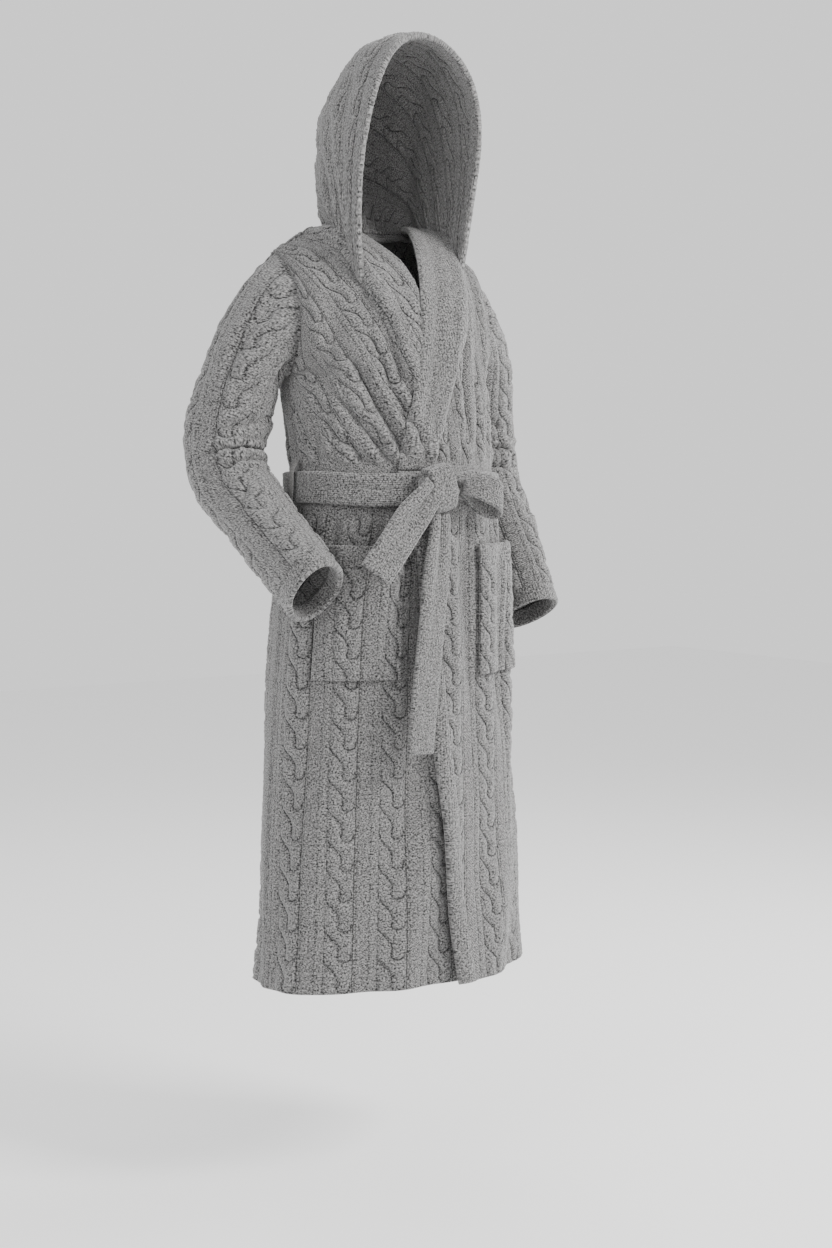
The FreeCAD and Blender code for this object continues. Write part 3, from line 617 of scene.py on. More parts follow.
def knit_chest(shear, squeeze):
    """Cables hang straight in the skirt; above the belt they lean by shear and are squeezed."""
    def knit(angle, row, u, v):
        up = np.maximum(WAIST_V - v, 0.0)
        uu = np.where(v < WAIST_V, (u - shear * up) * squeeze, u)
        mask = 1.0 - at_waist(row)
        return np.stack([uu, v], -1), mask
    return knit


def zero(angle, row):
    return 0.0 * angle


def inner_lap(angle, row):
    return lap_depth(angle)


def edge_stand(angle, row):
    """The outer front lifts off the inner one near its edge, more towards the hem."""
    near = np.exp(-(np.maximum(angle - left_low(row), 0.0) / 15.0) ** 2)
    return 13.0 * near * ease((down_cloth(row) - 560.0) / 420.0)


def left_low(row):
    return angle_of(through(LEFT_EDGE, row), row)


def left_seam(row):
    return angle_of(through(LEFT_EDGE, row) + through(BAND_WIDTHS, row), row)


def right_high(row):
    return angle_of(through(RIGHT_EDGE, row), row)


def right_seam(row):
    return angle_of(through(RIGHT_EDGE, row) - through(BAND_WIDTHS, row), row)


def at_angle(angle):
    """An edge that keeps to one angle at every row."""
    return lambda row: angle + 0.0 * row


all_rows = rows_list(0.0, TOP_ROW)
back = body_piece("back", lambda r: -side_angle(r), side_angle, all_rows, False, zero, 590.0,
                  knit_chest(0.0, 1.0), KNIT, -1.0, cell=4.2)
add(back, "robe", ["back_panel"])

right_front = body_piece("right_front", lambda r: -side_angle(r), lambda r: right_seam(r) + 0.6, all_rows,
                         True, inner_lap, 330.0, knit_chest(-SHEAR, 1.0), KNIT, 1.0, shift=20.0)
add(right_front, "robe", ["right_front_panel"])

left_front = body_piece("left_front", lambda r: left_seam(r) - 0.6, side_angle, all_rows, True,
                        edge_stand, 300.0, knit_chest(0.0, 1.35), KNIT, 1.0, shift=6.0)
FLAP_TURN = ((0.150, -0.21, -0.955), (0.045, -0.21, -1.16))
add(left_front, ("robe", "skirt_flap", *FLAP_TURN), ["left_front_panel", "left_front_flap"])

BAND_SPLIT = row_at(-WAIST_DROP + 29.0)


def roll(height):
    """A band's face: full in the middle, with a stitched line near both edges."""
    def extra(share, row, u, v):
        lines = np.exp(-((share - 0.16) / 0.035) ** 2) + np.exp(-((share - 0.84) / 0.035) ** 2)
        return (height * arch(share) - 1.2 * lines) * (1.0 - 0.7 * at_waist(row)) + hem_line(v)
    return extra


def lapel_roll(outer_end, reach):
    """The collar's roll: fullest along its outer edge where it leaves the hood."""
    def extra(share, row, u, v):
        out = share if outer_end > 0 else 1.0 - share
        near_hood = np.exp(-((row - 2.45) / reach) ** 2) * ease((2.98 - row) / 0.2)
        full = 4.5 * arch(out) + 13.0 * near_hood * np.exp(-((out - 0.80) / 0.24) ** 2)
        ridges = 1.1 * np.cos(2 * math.pi * out * 3.0) * (1.0 - np.abs(2 * out - 1) ** 4)
        return (full - ridges) * (1.0 - 0.75 * at_waist(row))
    return extra


def collar_flare(row):
    """Degrees by which the collar widens where the hood's rim runs into it."""
    return 5.0 * np.exp(-((row - 2.45) / 0.3) ** 2)


band_rows = rows_list(0.0, BAND_SPLIT - 0.005)
lapel_rows = rows_list(BAND_SPLIT, TOP_ROW)
left_band = body_piece("left_edge_band", left_low, lambda r: left_seam(r) + 0.5, band_rows, True,
                       lambda a, r: 4.5 + edge_stand(a, r), 36.0, None, PLAIN, 1.0, thick=10.0,
                       extra=roll(3.5), cell=2.6)
add(left_band, ("robe", "skirt_flap", *FLAP_TURN), ["left_edge_band", "left_flap_edge_band"])
right_band = body_piece("right_edge_band", lambda r: right_seam(r) - 0.5, right_high, band_rows, True,
                        inner_lap, 36.0, None, PLAIN, 1.0, thick=5.0, extra=roll(1.5), cell=2.6)
add(right_band, "robe", ["right_edge_band"])
left_lapel = body_piece("left_lapel", left_low, lambda r: left_seam(r) + 0.8 + collar_flare(r), lapel_rows,
                        True, lambda a, r: 4.0 + 0 * a, 74.0, None, PLAIN, 1.0, thick=8.0,
                        extra=lapel_roll(1.0, 0.95), cell=2.8)
add(left_lapel, "robe", ["left_lapel"])
right_lapel = body_piece("right_lapel", lambda r: right_seam(r) - 0.8 - collar_flare(r), right_high,
                         lapel_rows, True, lambda a, r: lap_depth(a) + 1.0, 74.0, knit_chest(-SHEAR, 1.0),
                         KNIT, 1.0, thick=6.0, extra=lapel_roll(-1.0, 0.5), cell=2.8)
add(right_lapel, "robe", ["right_lapel"])

# ---------------------------------------------------------------- pockets
POCKET_TOP, POCKET_HEIGHT, POCKET_HEM = 520.0, 215.0, 30.0
POCKET_FROM, POCKET_TO = 20.0, 64.0


def hem_roll(share, row, u, v):
    return 1.5 * np.sin(np.pi * np.clip((v - POCKET_TOP) / POCKET_HEM, 0, 1))


for who, fullness, low_angle, high_angle, lap in (
        ("right", 16.0, -POCKET_TO, -POCKET_FROM, inner_lap), ("left", 9.0, POCKET_FROM, POCKET_TO, zero)):
    bottom, mouth = row_at(-POCKET_TOP - POCKET_HEIGHT), row_at(-POCKET_TOP)
    seam = row_at(-POCKET_TOP - POCKET_HEM)

    def stand(angle, row, low=low_angle, high=high_angle, full=fullness, lap=lap, bottom=bottom, mouth=mouth):
        across = 2.0 * (angle - low) / (high - low) - 1.0
        up = ease((row - bottom) / (mouth - bottom))
        return lap(angle, row) + LAYER_GAP + CLOTH + 1.5 + full * (1.0 - np.clip(across, -1, 1) ** 4) * up

    def border(share, row, u, v):
        line = np.exp(-((share - 0.055) / 0.012) ** 2) + np.exp(-((share - 0.945) / 0.012) ** 2)
        line = line + np.exp(-((v - (POCKET_TOP + POCKET_HEIGHT - 9.0)) / 2.0) ** 2)
        return -1.8 * line

    pocket = body_piece(who + "_pocket", at_angle(low_angle), at_angle(high_angle),
                        rows_list(bottom, seam + 0.004), True, stand, 160.0,
                        lambda a, r, u, v: (np.stack([u, v], -1), np.ones_like(u)), KNIT, 1.0,
                        thick=CLOTH, extra=border, cell=2.8, shift=20.0 if who == "right" else 6.0)
    add(pocket, "robe", [who + "_pocket"])
    hem = body_piece(who + "_pocket_hem", at_angle(low_angle - 0.3), at_angle(high_angle + 0.3),
                     rows_list(seam - 0.002, mouth), True,
                     lambda a, r, f=stand: f(a, r) + 2.0, 162.0, None, PLAIN, 1.0, thick=7.0,
                     extra=hem_roll, cell=2.4)
    add(hem, "robe", [who + "_pocket_hem"])

# ---------------------------------------------------------------- sleeves
LEFT_ARM = ((268.0, 30.0, -385.0), (270.0, -118.0, -650.0))
RIGHT_ARM = ((-275.0, -5.0, -400.0), (-234.0, -228.0, -590.0))
SLEEVE_RADIUS, HEAD_RADIUS, CAP_REACH, CAP_FALL, UNDERARM_REACH = 57.0, 66.0, 72.0, 42.0, 20.0
CUFF_ACROSS, CUFF_TALL, CUFF_BAND = 49.0, 62.0, 30.0
SLEEVE_TOP = 115.0          # above the elbow: where the round sleeve starts to run into the armhole
SLEEVE_REACH = 150.0        # from there to the armhole, by the pieces' own measure
RING_STEP = 60.0            # between the two rings that steer the run into the armhole
SLEEVE_BEND = 75.0          # half of the curved stretch at the elbow
HANDOVER = 15.0 - SLEEVE_TOP        # the upper sleeve's piece ends here, past the elbow


def unit(vector):
    vector = np.asarray(vector, float)
    return vector / np.maximum(np.linalg.norm(vector, axis=-1, keepdims=True), 1e-9)


def ring(centre, along, tall, wide, turn):
    along = unit(along)
    ahead = unit(np.array([0.0, -1.0, 0.0]) - along * (-along[..., 1:2]))
    outward = np.cross(ahead, along)
    return centre + ahead * (tall * np.sin(turn))[..., None] - outward * (wide * np.cos(turn))[..., None]


def armhole(turn):
    front = turn <= math.pi
    rise = np.where(front, turn / math.pi, 2.0 - turn / math.pi)
    f = row_shape(2.0 + rise, True)
    b = row_shape(2.0 + rise, False)
    y = np.where(front, f[1], b[1])
    z = np.where(front, f[3], b[3])
    return np.stack([np.full_like(turn, SHOULDER_HALF_WIDTH - 9.0), y, z], -1)


def sleeve(who, arm, folds_upper, folds_fore):
    mirror = -1.0 if who == "right" else 1.0
    elbow = np.array([mirror * arm[0][0], arm[0][1], arm[0][2]])
    wrist = np.array([mirror * arm[1][0], arm[1][1], arm[1][2]])
    head = np.array([SHOULDER_HALF_WIDTH + 0.6 * HEAD_RADIUS, SHOULDER_TIP_Y,
                     -SHOULDER_DROP - 1.65 * HEAD_RADIUS])
    upper, fore = unit(elbow - head), unit(wrist - elbow)
    fore_length = float(np.linalg.norm(wrist - elbow))
    top = elbow - upper * SLEEVE_TOP

    def centre_line(s):
        """Centre and direction at s mm past the elbow; the corner is a smooth curve."""
        t = np.clip((s + SLEEVE_BEND) / (2 * SLEEVE_BEND), 0.0, 1.0)[..., None]
        curve = elbow + upper * (-SLEEVE_BEND * (1 - t) ** 2) + fore * (SLEEVE_BEND * t ** 2)
        along = unit(upper * (1 - t) + fore * t)
        before = np.minimum(s + SLEEVE_BEND, 0.0)[..., None]
        after = np.maximum(s - SLEEVE_BEND, 0.0)[..., None]
        return curve + upper * before + fore * after, along

    def surface(turn, s):
        """turn round the sleeve and s mm past the elbow; above SLEEVE_TOP it runs into the armhole."""
        down = np.clip(s / fore_length, 0.0, 1.0)
        tall = mix(SLEEVE_RADIUS, CUFF_TALL, ease(down)) + 5.0 * ease(-s / SLEEVE_TOP)
        wide = mix(SLEEVE_RADIUS, CUFF_ACROSS, ease(down)) + 6.0 * ease(-s / SLEEVE_TOP)
        centre, along = centre_line(s)
        tube = ring(centre, along, tall, wide, turn)
        rest = np.clip((s + SLEEVE_TOP) / -SLEEVE_REACH, 0.0, 1.0)[..., None]
        share = 1.0 - rest
        neck = armhole(turn)
        outside = (0.5 - 0.5 * np.cos(turn))
        cap = neck + np.stack([mix(UNDERARM_REACH, CAP_REACH, outside), 0 * turn, -CAP_FALL * outside], -1)
        arm_ring = ring(np.broadcast_to(top, tube.shape), np.broadcast_to(upper, tube.shape),
                        SLEEVE_RADIUS + 5.0 + 0 * turn, SLEEVE_RADIUS + 6.0 + 0 * turn, turn)
        before_arm = ring(np.broadcast_to(top - upper * RING_STEP, tube.shape),
                          np.broadcast_to(upper, tube.shape),
                          SLEEVE_RADIUS + 6.0 + 0 * turn, SLEEVE_RADIUS + 7.0 + 0 * turn, turn)
        run_in = (neck * rest ** 3 + cap * 3 * rest ** 2 * share + before_arm * 3 * rest * share ** 2
                  + arm_ring * share ** 3)
        return np.where((s < -SLEEVE_TOP)[..., None], run_in, tube)

    top_s = -SLEEVE_TOP - SLEEVE_REACH

    def piece(name, low, high, folds, nodes, ride, knit, thick=CLOTH, extra=None, cell=CELL):
        from_top = low < -SLEEVE_TOP - 20.0
        turns = np.linspace(0.0, 2 * math.pi, int(365 / cell) + 1)
        lengths = low + (high - low) * stations(high - low, cell)
        turn, s = np.meshgrid(turns, lengths, indexing="ij")
        base = surface(turn, s)
        base = base * np.array([mirror, 1.0, 1.0])
        n = normals(base, True)
        middle = base.mean(axis=0, keepdims=True)
        way = sense(n * (base - middle))
        u = turn * SLEEVE_RADIUS
        run = np.cumsum(np.linalg.norm(np.diff(base, axis=1), axis=-1), axis=1)
        run = np.concatenate([np.zeros((len(turns), 1)), run], 1)
        v = 600.0 + (high if from_top else low) + run - (run[:, -1:] if from_top else 0.0)
        lift = 3.0 * waves(u, v * 2.0, 3.0 if who == "left" else 6.0) * ease((high + 30.0 - s) / 80.0)
        for start, end, width, depth in folds:
            for lap in (-2 * math.pi * SLEEVE_RADIUS, 0.0, 2 * math.pi * SLEEVE_RADIUS):
                lift = lift + crease(u + lap, s, start, end, width, depth)
        lift = lift - 2.5 * np.exp(-((s - top_s - 14.0) / 6.0) ** 2)
        lift = lift + 8.0 * np.exp(-((s + 12.0) / 85.0) ** 2) * ease(0.5 - 0.5 * np.cos(turn - 0.6))
        lift[-1] = lift[0]
        base = base + n * way * (lift - 0.5 * thick)[..., None]
        mask = np.ones_like(u) * knit
        uv = np.stack([u * (4 * PITCH) / (2 * math.pi * SLEEVE_RADIUS), v], -1)
        outer = cable(uv[..., 0], v) * mask
        if extra:
            outer = outer + extra(s)
        obj = cloth(name, base, uv, KNIT if knit else PLAIN, thick=thick, outer=outer, mask=mask, side=way,
                    wrap=True, radius=3.0)
        add(obj, ride, nodes)

    m = np.array([mirror, 1.0, 1.0])
    a = (top - upper * RING_STEP) * m * MM
    blend_start = np.array([mirror * 0.187, a[1], -0.150])
    blend_end = np.array([mirror * 0.240, a[1], -0.190])
    piece(who + "_upper_sleeve", top_s, HANDOVER, folds_upper, [who + "_upper_sleeve"],
          ("robe", who + "_upper_arm", tuple(blend_start), tuple(blend_end)),
          1.0)
    e = elbow * m * MM
    start = e - upper * m * MM * RING_STEP
    end = e + fore * m * MM * RING_STEP
    cuff_s = fore_length - CUFF_BAND
    piece(who + "_forearm_sleeve", HANDOVER - 6.0, cuff_s + 3.0, folds_fore,
          [who + "_forearm_sleeve", who + "_elbow_liner"],
          (who + "_upper_arm", who + "_forearm", tuple(start), tuple(end)), 1.0)
    piece(who + "_cuff_band", cuff_s, fore_length, (), [who + "_cuff_band"], who + "_forearm",
          0.0, thick=8.0,
          extra=lambda s: 2.0 - 1.6 * np.exp(-((s - cuff_s - 6.0) / 1.8) ** 2), cell=2.8)


R = SLEEVE_RADIUS
sleeve("left", LEFT_ARM,
       (((2.2 * R, -250.0), (2.6 * R, -110.0), 9.0, 6.0), ((4.3 * R, -260.0), (3.9 * R, -130.0), 9.0, 5.0)),
       (((0.5 * R, -26.0), (2.9 * R, -6.0), 8.0, 9.0), ((0.6 * R, 20.0), (2.4 * R, 44.0), 8.0, 6.0),
        ((0.4 * R, -110.0), (2.2 * R, -52.0), 9.0, 5.0), ((1.5 * R, 70.0), (3.6 * R, 190.0), 10.0, 5.0)))
sleeve("right", RIGHT_ARM,
       (((2.0 * R, -250.0), (2.5 * R, -110.0), 9.0, 7.0), ((4.2 * R, -260.0), (3.8 * R, -130.0), 9.0, 5.0),
        ((0.6 * R, -240.0), (1.2 * R, -120.0), 8.0, 6.0)),
       (((0.3 * R, -22.0), (3.1 * R, -4.0), 8.0, 12.0), ((0.5 * R, 14.0), (2.6 * R, 46.0), 8.0, 8.0),
        ((0.2 * R, -120.0), (2.5 * R, -50.0), 9.0, 7.0), ((1.2 * R, 60.0), (3.0 * R, 150.0), 9.0, 5.0)))

# ---------------------------------------------------------------- hood
HOOD_HEIGHT, HOOD_HALF_WIDTH, HOOD_SWELL = 300.0, 100.0, 35.0
HOOD_FRONT_Y, HOOD_BASE_Y, HOOD_BASE_Z = -185.0, -150.0, -70.0
HOOD_NECK_HALF_WIDTH, HOOD_NECK_Y, HOOD_BACK_Y, HOOD_LIFT = 88.0, -45.0, 48.0, 7.0
HOOD_BAND = 0.085
HOOD_SEAM_Y = ((0.0, HOOD_FRONT_Y), (0.2, -110.0), (0.4, -32.0), (0.58, HOOD_BACK_Y - 24.0),
               (0.74, HOOD_BACK_Y), (0.88, HOOD_BACK_Y - 3.0), (1.0, 12.0))
HOOD_SEAM_Z = ((0.0, HOOD_HEIGHT - 4.0), (0.2, HOOD_HEIGHT), (0.4, 0.925 * HOOD_HEIGHT),
               (0.58, 0.74 * HOOD_HEIGHT), (0.74, 0.47 * HOOD_HEIGHT), (0.88, 0.2 * HOOD_HEIGHT), (1.0, HOOD_LIFT))
HOOD_DEPTH = 500.0          # along the middle seam, from the rim to the neck
HOOD_ARCH = 760.0           # along the rim
HOOD_SKIRT_FRONT = 34.0     # how far the hood reaches down onto the fronts
HOOD_SKIRT_BACK = 26.0      # and onto the back of the neck


def hood(turn, depth):
    base_x = mix(HOOD_HALF_WIDTH, HOOD_NECK_HALF_WIDTH, ease(depth))
    base_y = mix(HOOD_BASE_Y, HOOD_NECK_Y, depth)
    base_z = mix(HOOD_BASE_Z, HOOD_LIFT, np.sin(math.pi / 2 * depth))
    seam_y, seam_z = through(HOOD_SEAM_Y, depth), through(HOOD_SEAM_Z, depth)
    swell = HOOD_SWELL * (1.0 - depth ** 2)
    rise = np.sin(turn)
    x = base_x * np.cos(turn) + swell * np.sin(2 * turn)
    y = mix(base_y, seam_y, rise) - 0.6 * swell * np.sin(2 * turn) ** 2 * (1.0 - depth)
    z = mix(base_z, seam_z, rise)
    front_drop = HOOD_SKIRT_FRONT * (1.0 - ease(rise * 2.6)) * (1.0 - 0.35 * ease(depth * 2.0))
    back_drop = HOOD_SKIRT_BACK * ease((depth - 0.86) / 0.14)
    drop = np.maximum(front_drop, back_drop)
    inward = 1.0 - 0.12 * ease((depth - 0.86) / 0.14)
    return np.stack([x * inward, y + 8.0 * ease((depth - 0.9) / 0.1) * -rise, z - drop], -1)


HOOD_TURN = ((0.0, -0.02, -0.065), (0.0, -0.02, 0.085))


def hood_piece(name, turn_from, turn_to, depth_from, depth_to, knit, node, thick, cell, extra=0.0):
    turns = mix(turn_from, turn_to, stations(abs(turn_to - turn_from) / math.pi * HOOD_ARCH, cell))
    depths = mix(depth_from, depth_to, stations((depth_to - depth_from) * HOOD_DEPTH, cell))
    turn, depth = np.meshgrid(turns, depths, indexing="ij")
    base = hood(turn, depth)
    n = normals(base, False)
    middle = np.array([0.0, -80.0, 90.0])
    way = sense(n * (base - middle))
    u = depth * HOOD_DEPTH - 44.0
    v = turn / math.pi * HOOD_ARCH
    lift = 4.0 * waves(v * 0.8, u * 3.0, 2.0) * ease(depth * 3.0)
    base = base + n * way * (lift - 0.5 * thick)[..., None]
    mask = np.ones_like(u) * knit
    relief = cable(u, v) * mask
    full = extra * arch((depth - depth_from) / (depth_to - depth_from))
    obj = cloth(name, base, np.stack([u, v], -1), KNIT if knit else PLAIN, thick=thick, outer=relief + full,
                inner=0.6 * relief + full, mask=mask, side=way)
    add(obj, ("robe", "hood", *HOOD_TURN), [node])


MIDDLE = math.pi / 2
hood_piece("hood_left_half", MIDDLE - 0.002, 0.0, HOOD_BAND - 0.004, 1.0, 1.0, "hood_left_half", 6.0,
           3.6)
hood_piece("hood_right_half", math.pi, MIDDLE + 0.002, HOOD_BAND - 0.004, 1.0, 1.0, "hood_right_half", 6.0,
           3.6)
hood_piece("hood_edge_band", math.pi, 0.0, 0.0, HOOD_BAND + 0.004, 0.0, "hood_edge_band", 9.0,
           2.4, extra=2.0)

# ---------------------------------------------------------------- belt
BELT_WIDTH, KNOT_X, KNOT_Y = 52.0, -25.0, -264.5
KNOT_WIDTH, KNOT_HEIGHT, KNOT_DEPTH = 72.0, 60.0, 40.0
TAIL_TOP_Z = -466.0
TAIL_WIDTH, LONG_TAIL_LENGTH, LONG_TAIL_DRIFT = 54.0, 385.0, -38.0
SHORT_TAIL_LENGTH, SHORT_TAIL_WIDTH, SHORT_TAIL_LEAN = 176.0, 62.0, 37.0
BOW_REACH, BOW_ROOT, BOW_TIP, BOW_HANG = 76.0, 26.0, 50.0, 27.0
BOW_TWIST = 8.0             # the back ply of the bow hangs lower than the front one
BELT_FROM, BELT_TO = 4.0, 349.0     # degrees round the waist, from one side of the knot to the other


def strip(name, base, uv, ride, nodes, flat, thick=8.0, outer=0.0, inner=0.0, side=1.0, held="hung"):
    obj = cloth(name, base, uv[..., ::-1], BELT, thick=thick, outer=outer, inner=inner, mask=0.0, side=side,
                fuzz=0.5, radius=5.0)
    return add(obj, ride, nodes)


def waist_point(angle, row):
    front = np.cos(np.radians(angle)) >= 0
    f = body(angle, row, True)
    b = body(180.0 - angle, row, False)
    return np.where(front[..., None], f, b)


angles = np.linspace(BELT_FROM, BELT_TO, 330)
shares = stations(BELT_WIDTH + 4.0, 2.8)
angle, share = np.meshgrid(angles, shares, indexing="ij")
z = mix(-WAIST_DROP - BELT_WIDTH / 2, -WAIST_DROP + BELT_WIDTH / 2, share)
row = np.where(z < -WAIST_DROP, (z + BACK_LENGTH) / (BACK_LENGTH - WAIST_DROP),
               1.0 + (z + WAIST_DROP) / (WAIST_DROP - ARMPIT_DROP))
base = waist_point(angle, row)
out = normals(base, False)
flat_out = base - np.array([0.0, WAIST_CENTRE_Y, 0.0])
way = sense(out[..., :2] * flat_out[..., :2])
u = np.radians(angle) * 165.0
sag = 1.2 * np.sin(u / 31.0) + 1.5 * np.sin(u / 57.0 + 1.0)
base = base + out * way * 6.0
pinch = 1.0 - 0.22 * np.exp(-(np.minimum(angle - BELT_FROM, BELT_TO - angle) / 9.0) ** 2)
base[..., 2] = -WAIST_DROP + (base[..., 2] + WAIST_DROP) * pinch + sag
folded = -1.6 * np.exp(-((share - 0.5 - 0.06 * np.sin(u / 43.0)) / 0.05) ** 2)
strip("belt_waist_band", base, np.stack([u, z], -1), "robe", ["belt_waist_band"], (1.10, 0.054),
      outer=1.5 + folded, side=way, held="stretched")


def join(name, objs):
    """Several meshes made into one piece."""
    bpy.context.view_layer.update()
    with bpy.context.temp_override(active_object=objs[0], selected_editable_objects=objs, object=objs[0],
                                   selected_objects=objs):
        bpy.ops.object.join()
    objs[0].name = name
    return objs[0]


def ribbon(name, path, across, width, thick, puff=0.0, closed=False, side=1.0, fuzz=0.5, cell=2.8):
    """A band along a path; across gives its width direction at every point."""
    shares = stations(width, cell)
    base = path[:, None, :] + across[:, None, :] * ((shares - 0.5) * width)[None, :, None]
    full = puff * arch(shares)[None, :]
    uv = np.stack(np.meshgrid(run_along(path), shares * width, indexing="ij"), -1)
    return cloth(name, base, uv[..., ::-1], BELT, thick=thick, outer=full, inner=0.3 * full, mask=0.0,
                 side=side, wrap=closed, radius=4.5, fuzz=fuzz)


def loop_path(centre, wide, tall, tilt, count):
    """A closed oval in the plane of depth and a tilted upright."""
    squareness = 2.6
    t = np.linspace(0.0, 2 * math.pi, count)
    a = np.sign(np.cos(t)) * np.abs(np.cos(t)) ** (2 / squareness) * wide
    b = np.sign(np.sin(t)) * np.abs(np.sin(t)) ** (2 / squareness) * tall
    lean = math.radians(tilt)
    return np.array(centre) + np.stack([b * math.sin(lean), -a, b * math.cos(lean)], -1)


# the knot's core: a stuffed roll lying across, pinched at both ends
core_t, core_s = np.meshgrid(np.linspace(0.0, 2 * math.pi, 90), np.linspace(-1.0, 1.0, 40), indexing="ij")
core_r = np.sqrt(np.maximum(1.0 - np.abs(core_s) ** 3.2, 0.0))
core = np.stack([KNOT_X + core_s * KNOT_WIDTH * 0.46,
                 KNOT_Y + 2.0 - np.sin(core_t) * KNOT_DEPTH * 0.38 * core_r,
                 -WAIST_DROP + np.cos(core_t) * KNOT_HEIGHT * 0.44 * core_r], -1)
core_way = normals(core, True)[20:60, 20] * (core[20:60, 20] - core.mean((0, 1)))
core_obj = cloth("knot_core", core, np.stack([core_s * 40, core_t * 28], -1), BELT, thick=CLOTH,
                 outer=1.6 * np.sin(3 * core_t + 2.2 * core_s), mask=0.0,
                 side=sense(core_way), wrap=True, radius=2.0)
wrap_path = loop_path((KNOT_X - 1.0, KNOT_Y + 1.0, -WAIST_DROP), KNOT_DEPTH * 0.48, KNOT_HEIGHT * 0.55,
                      -12.0, 110)
wrap_across = np.tile(unit(np.array([0.97, 0.0, 0.24])), (110, 1))
wrap = ribbon("knot_wrap", wrap_path, wrap_across, 44.0, 8.0, puff=2.5, closed=True, side=1.0)
knot = join("belt_knot_cloth", [core_obj, wrap])
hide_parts("belt_knot")
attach(knot, "robe")

t = np.linspace(0.0, 1.0, 130)
long_path = np.stack([KNOT_X + LONG_TAIL_DRIFT * t + 4.0 * np.sin(5.0 * t),
                      KNOT_Y - 3.0 + 4.0 * np.sin(4.2 * t + 0.4) * ease(3 * t),
                      TAIL_TOP_Z - 1.5 - LONG_TAIL_LENGTH * t], -1)
widths = TAIL_WIDTH * mix(0.72, 1.0, ease(4.0 * t))


def tail(name, path, across, widths, thick, puff, body_name, node, flat, folds):
    shares = stations(TAIL_WIDTH, 2.8)
    base = path[:, None, :] + across[:, None, :] * ((shares - 0.5)[None, :] * widths[:, None])[..., None]
    depth = sum(a * np.exp(-((shares[None, :] - s) / w) ** 2) * fade[:, None] for a, s, w, fade in folds)
    uv = np.stack(np.meshgrid(run_along(path), shares * TAIL_WIDTH, indexing="ij"), -1)
    n = normals(base, False)
    side = sense(-n[..., 1])
    base = base + n * side * depth[..., None]
    full = puff * arch(shares)[None, :]
    return strip(name, base, uv, body_name, [node], flat, thick=thick, outer=full, inner=0.4 * full,
                 side=side)


tail("belt_long_tail", long_path, np.tile(np.array([1.0, 0.12, 0.0]), (130, 1)), widths, 8.0, 1.6,
     "long_tail", "belt_long_tail", (0.392, 0.054),
     ((-5.0, 0.5, 0.16, np.exp(-(t / 0.28) ** 2)), (3.0, 0.25, 0.14, np.exp(-(t / 0.5) ** 2))))
lean = math.radians(SHORT_TAIL_LEAN)
along = np.array([-math.sin(lean), 0.0, -math.cos(lean)])
side_way = np.array([math.cos(lean), 0.0, -math.sin(lean)])
ts = np.linspace(0.0, 1.0, 60)
short_top = np.array([-44.0, KNOT_Y - 17.0, -424.0])
short_dip = 16.0 * ease(2.2 * ts) - 5.0 * np.sin(3.0 * ts)
short_path = short_top + along * (SHORT_TAIL_LENGTH * ts)[:, None] + np.stack([0 * ts, short_dip, 0 * ts], -1)
tail("belt_short_tail", short_path, np.tile(side_way, (60, 1)),
     SHORT_TAIL_WIDTH * mix(0.7, 1.0, ease(2.6 * ts)), 9.0, 2.0, "short_tail", "belt_short_tail",
     (0.176, 0.054), ((-5.0, 0.45, 0.15, np.exp(-(ts / 0.5) ** 2)),))

root_x = KNOT_X + KNOT_WIDTH / 2 + 5.0
tb = np.linspace(-1.0, 1.0, 110)
reach = 1.0 - np.abs(tb) ** 1.6
bulge = np.sign(tb) * (1.0 - (1.0 - np.minimum(np.abs(tb) / 0.45, 1.0)) ** 2)
bow_path = np.stack([root_x + BOW_REACH * reach, KNOT_Y - 2.0 + bulge * mix(6.5, 15.0, ease(2.0 * reach)),
                     -WAIST_DROP - BOW_HANG * reach ** 1.4 + 4.0 - BOW_TWIST * bulge * ease(1.5 * reach)], -1)
bow_shares = stations(BOW_TIP, 2.8)
heights = mix(BOW_ROOT, BOW_TIP, ease(1.6 * reach))
bow_up = (bow_shares - 0.5)[None, :] * heights[:, None]
bow_base = bow_path[:, None, :] + np.array([0.0, 0.0, 1.0]) * bow_up[..., None]
bow_uv = np.stack(np.meshgrid(run_along(bow_path), bow_shares * BOW_TIP, indexing="ij"), -1)
bow_side = sense(-normals(bow_base, False)[20, 8, 1])
strip("belt_bow_loop", bow_base, bow_uv, "bow", ["belt_bow_loop"], (0.19, 0.050), thick=7.0, outer=1.0,
      side=bow_side)

# ---------------------------------------------------------------- belt loops and trim
LOOP_HALF_LENGTH = 46.0
for who, sgn in (("left", 1.0), ("right", -1.0)):
    zs = np.linspace(-WAIST_DROP - LOOP_HALF_LENGTH, -WAIST_DROP + LOOP_HALF_LENGTH, 50)
    away = 8.0 + 10.0 * ease((LOOP_HALF_LENGTH - np.abs(zs + WAIST_DROP)) / 20.0)
    half = np.interp(zs, [-500.0, -430.0, -380.0], [186.0, 178.0, 178.0])
    path = np.stack([sgn * (half + away), np.full_like(zs, WAIST_CENTRE_Y), zs], -1)
    obj = ribbon("strap", path, np.tile(np.array([0.0, 1.0, 0.0]), (50, 1)), 12.0, 3.0, side=sgn, fuzz=0.15,
                 cell=2.0)
    obj.data.materials[0] = TAPE
    obj.name = who + "_belt_loop_cloth"
    add(obj, "robe", [who + "_belt_loop"])


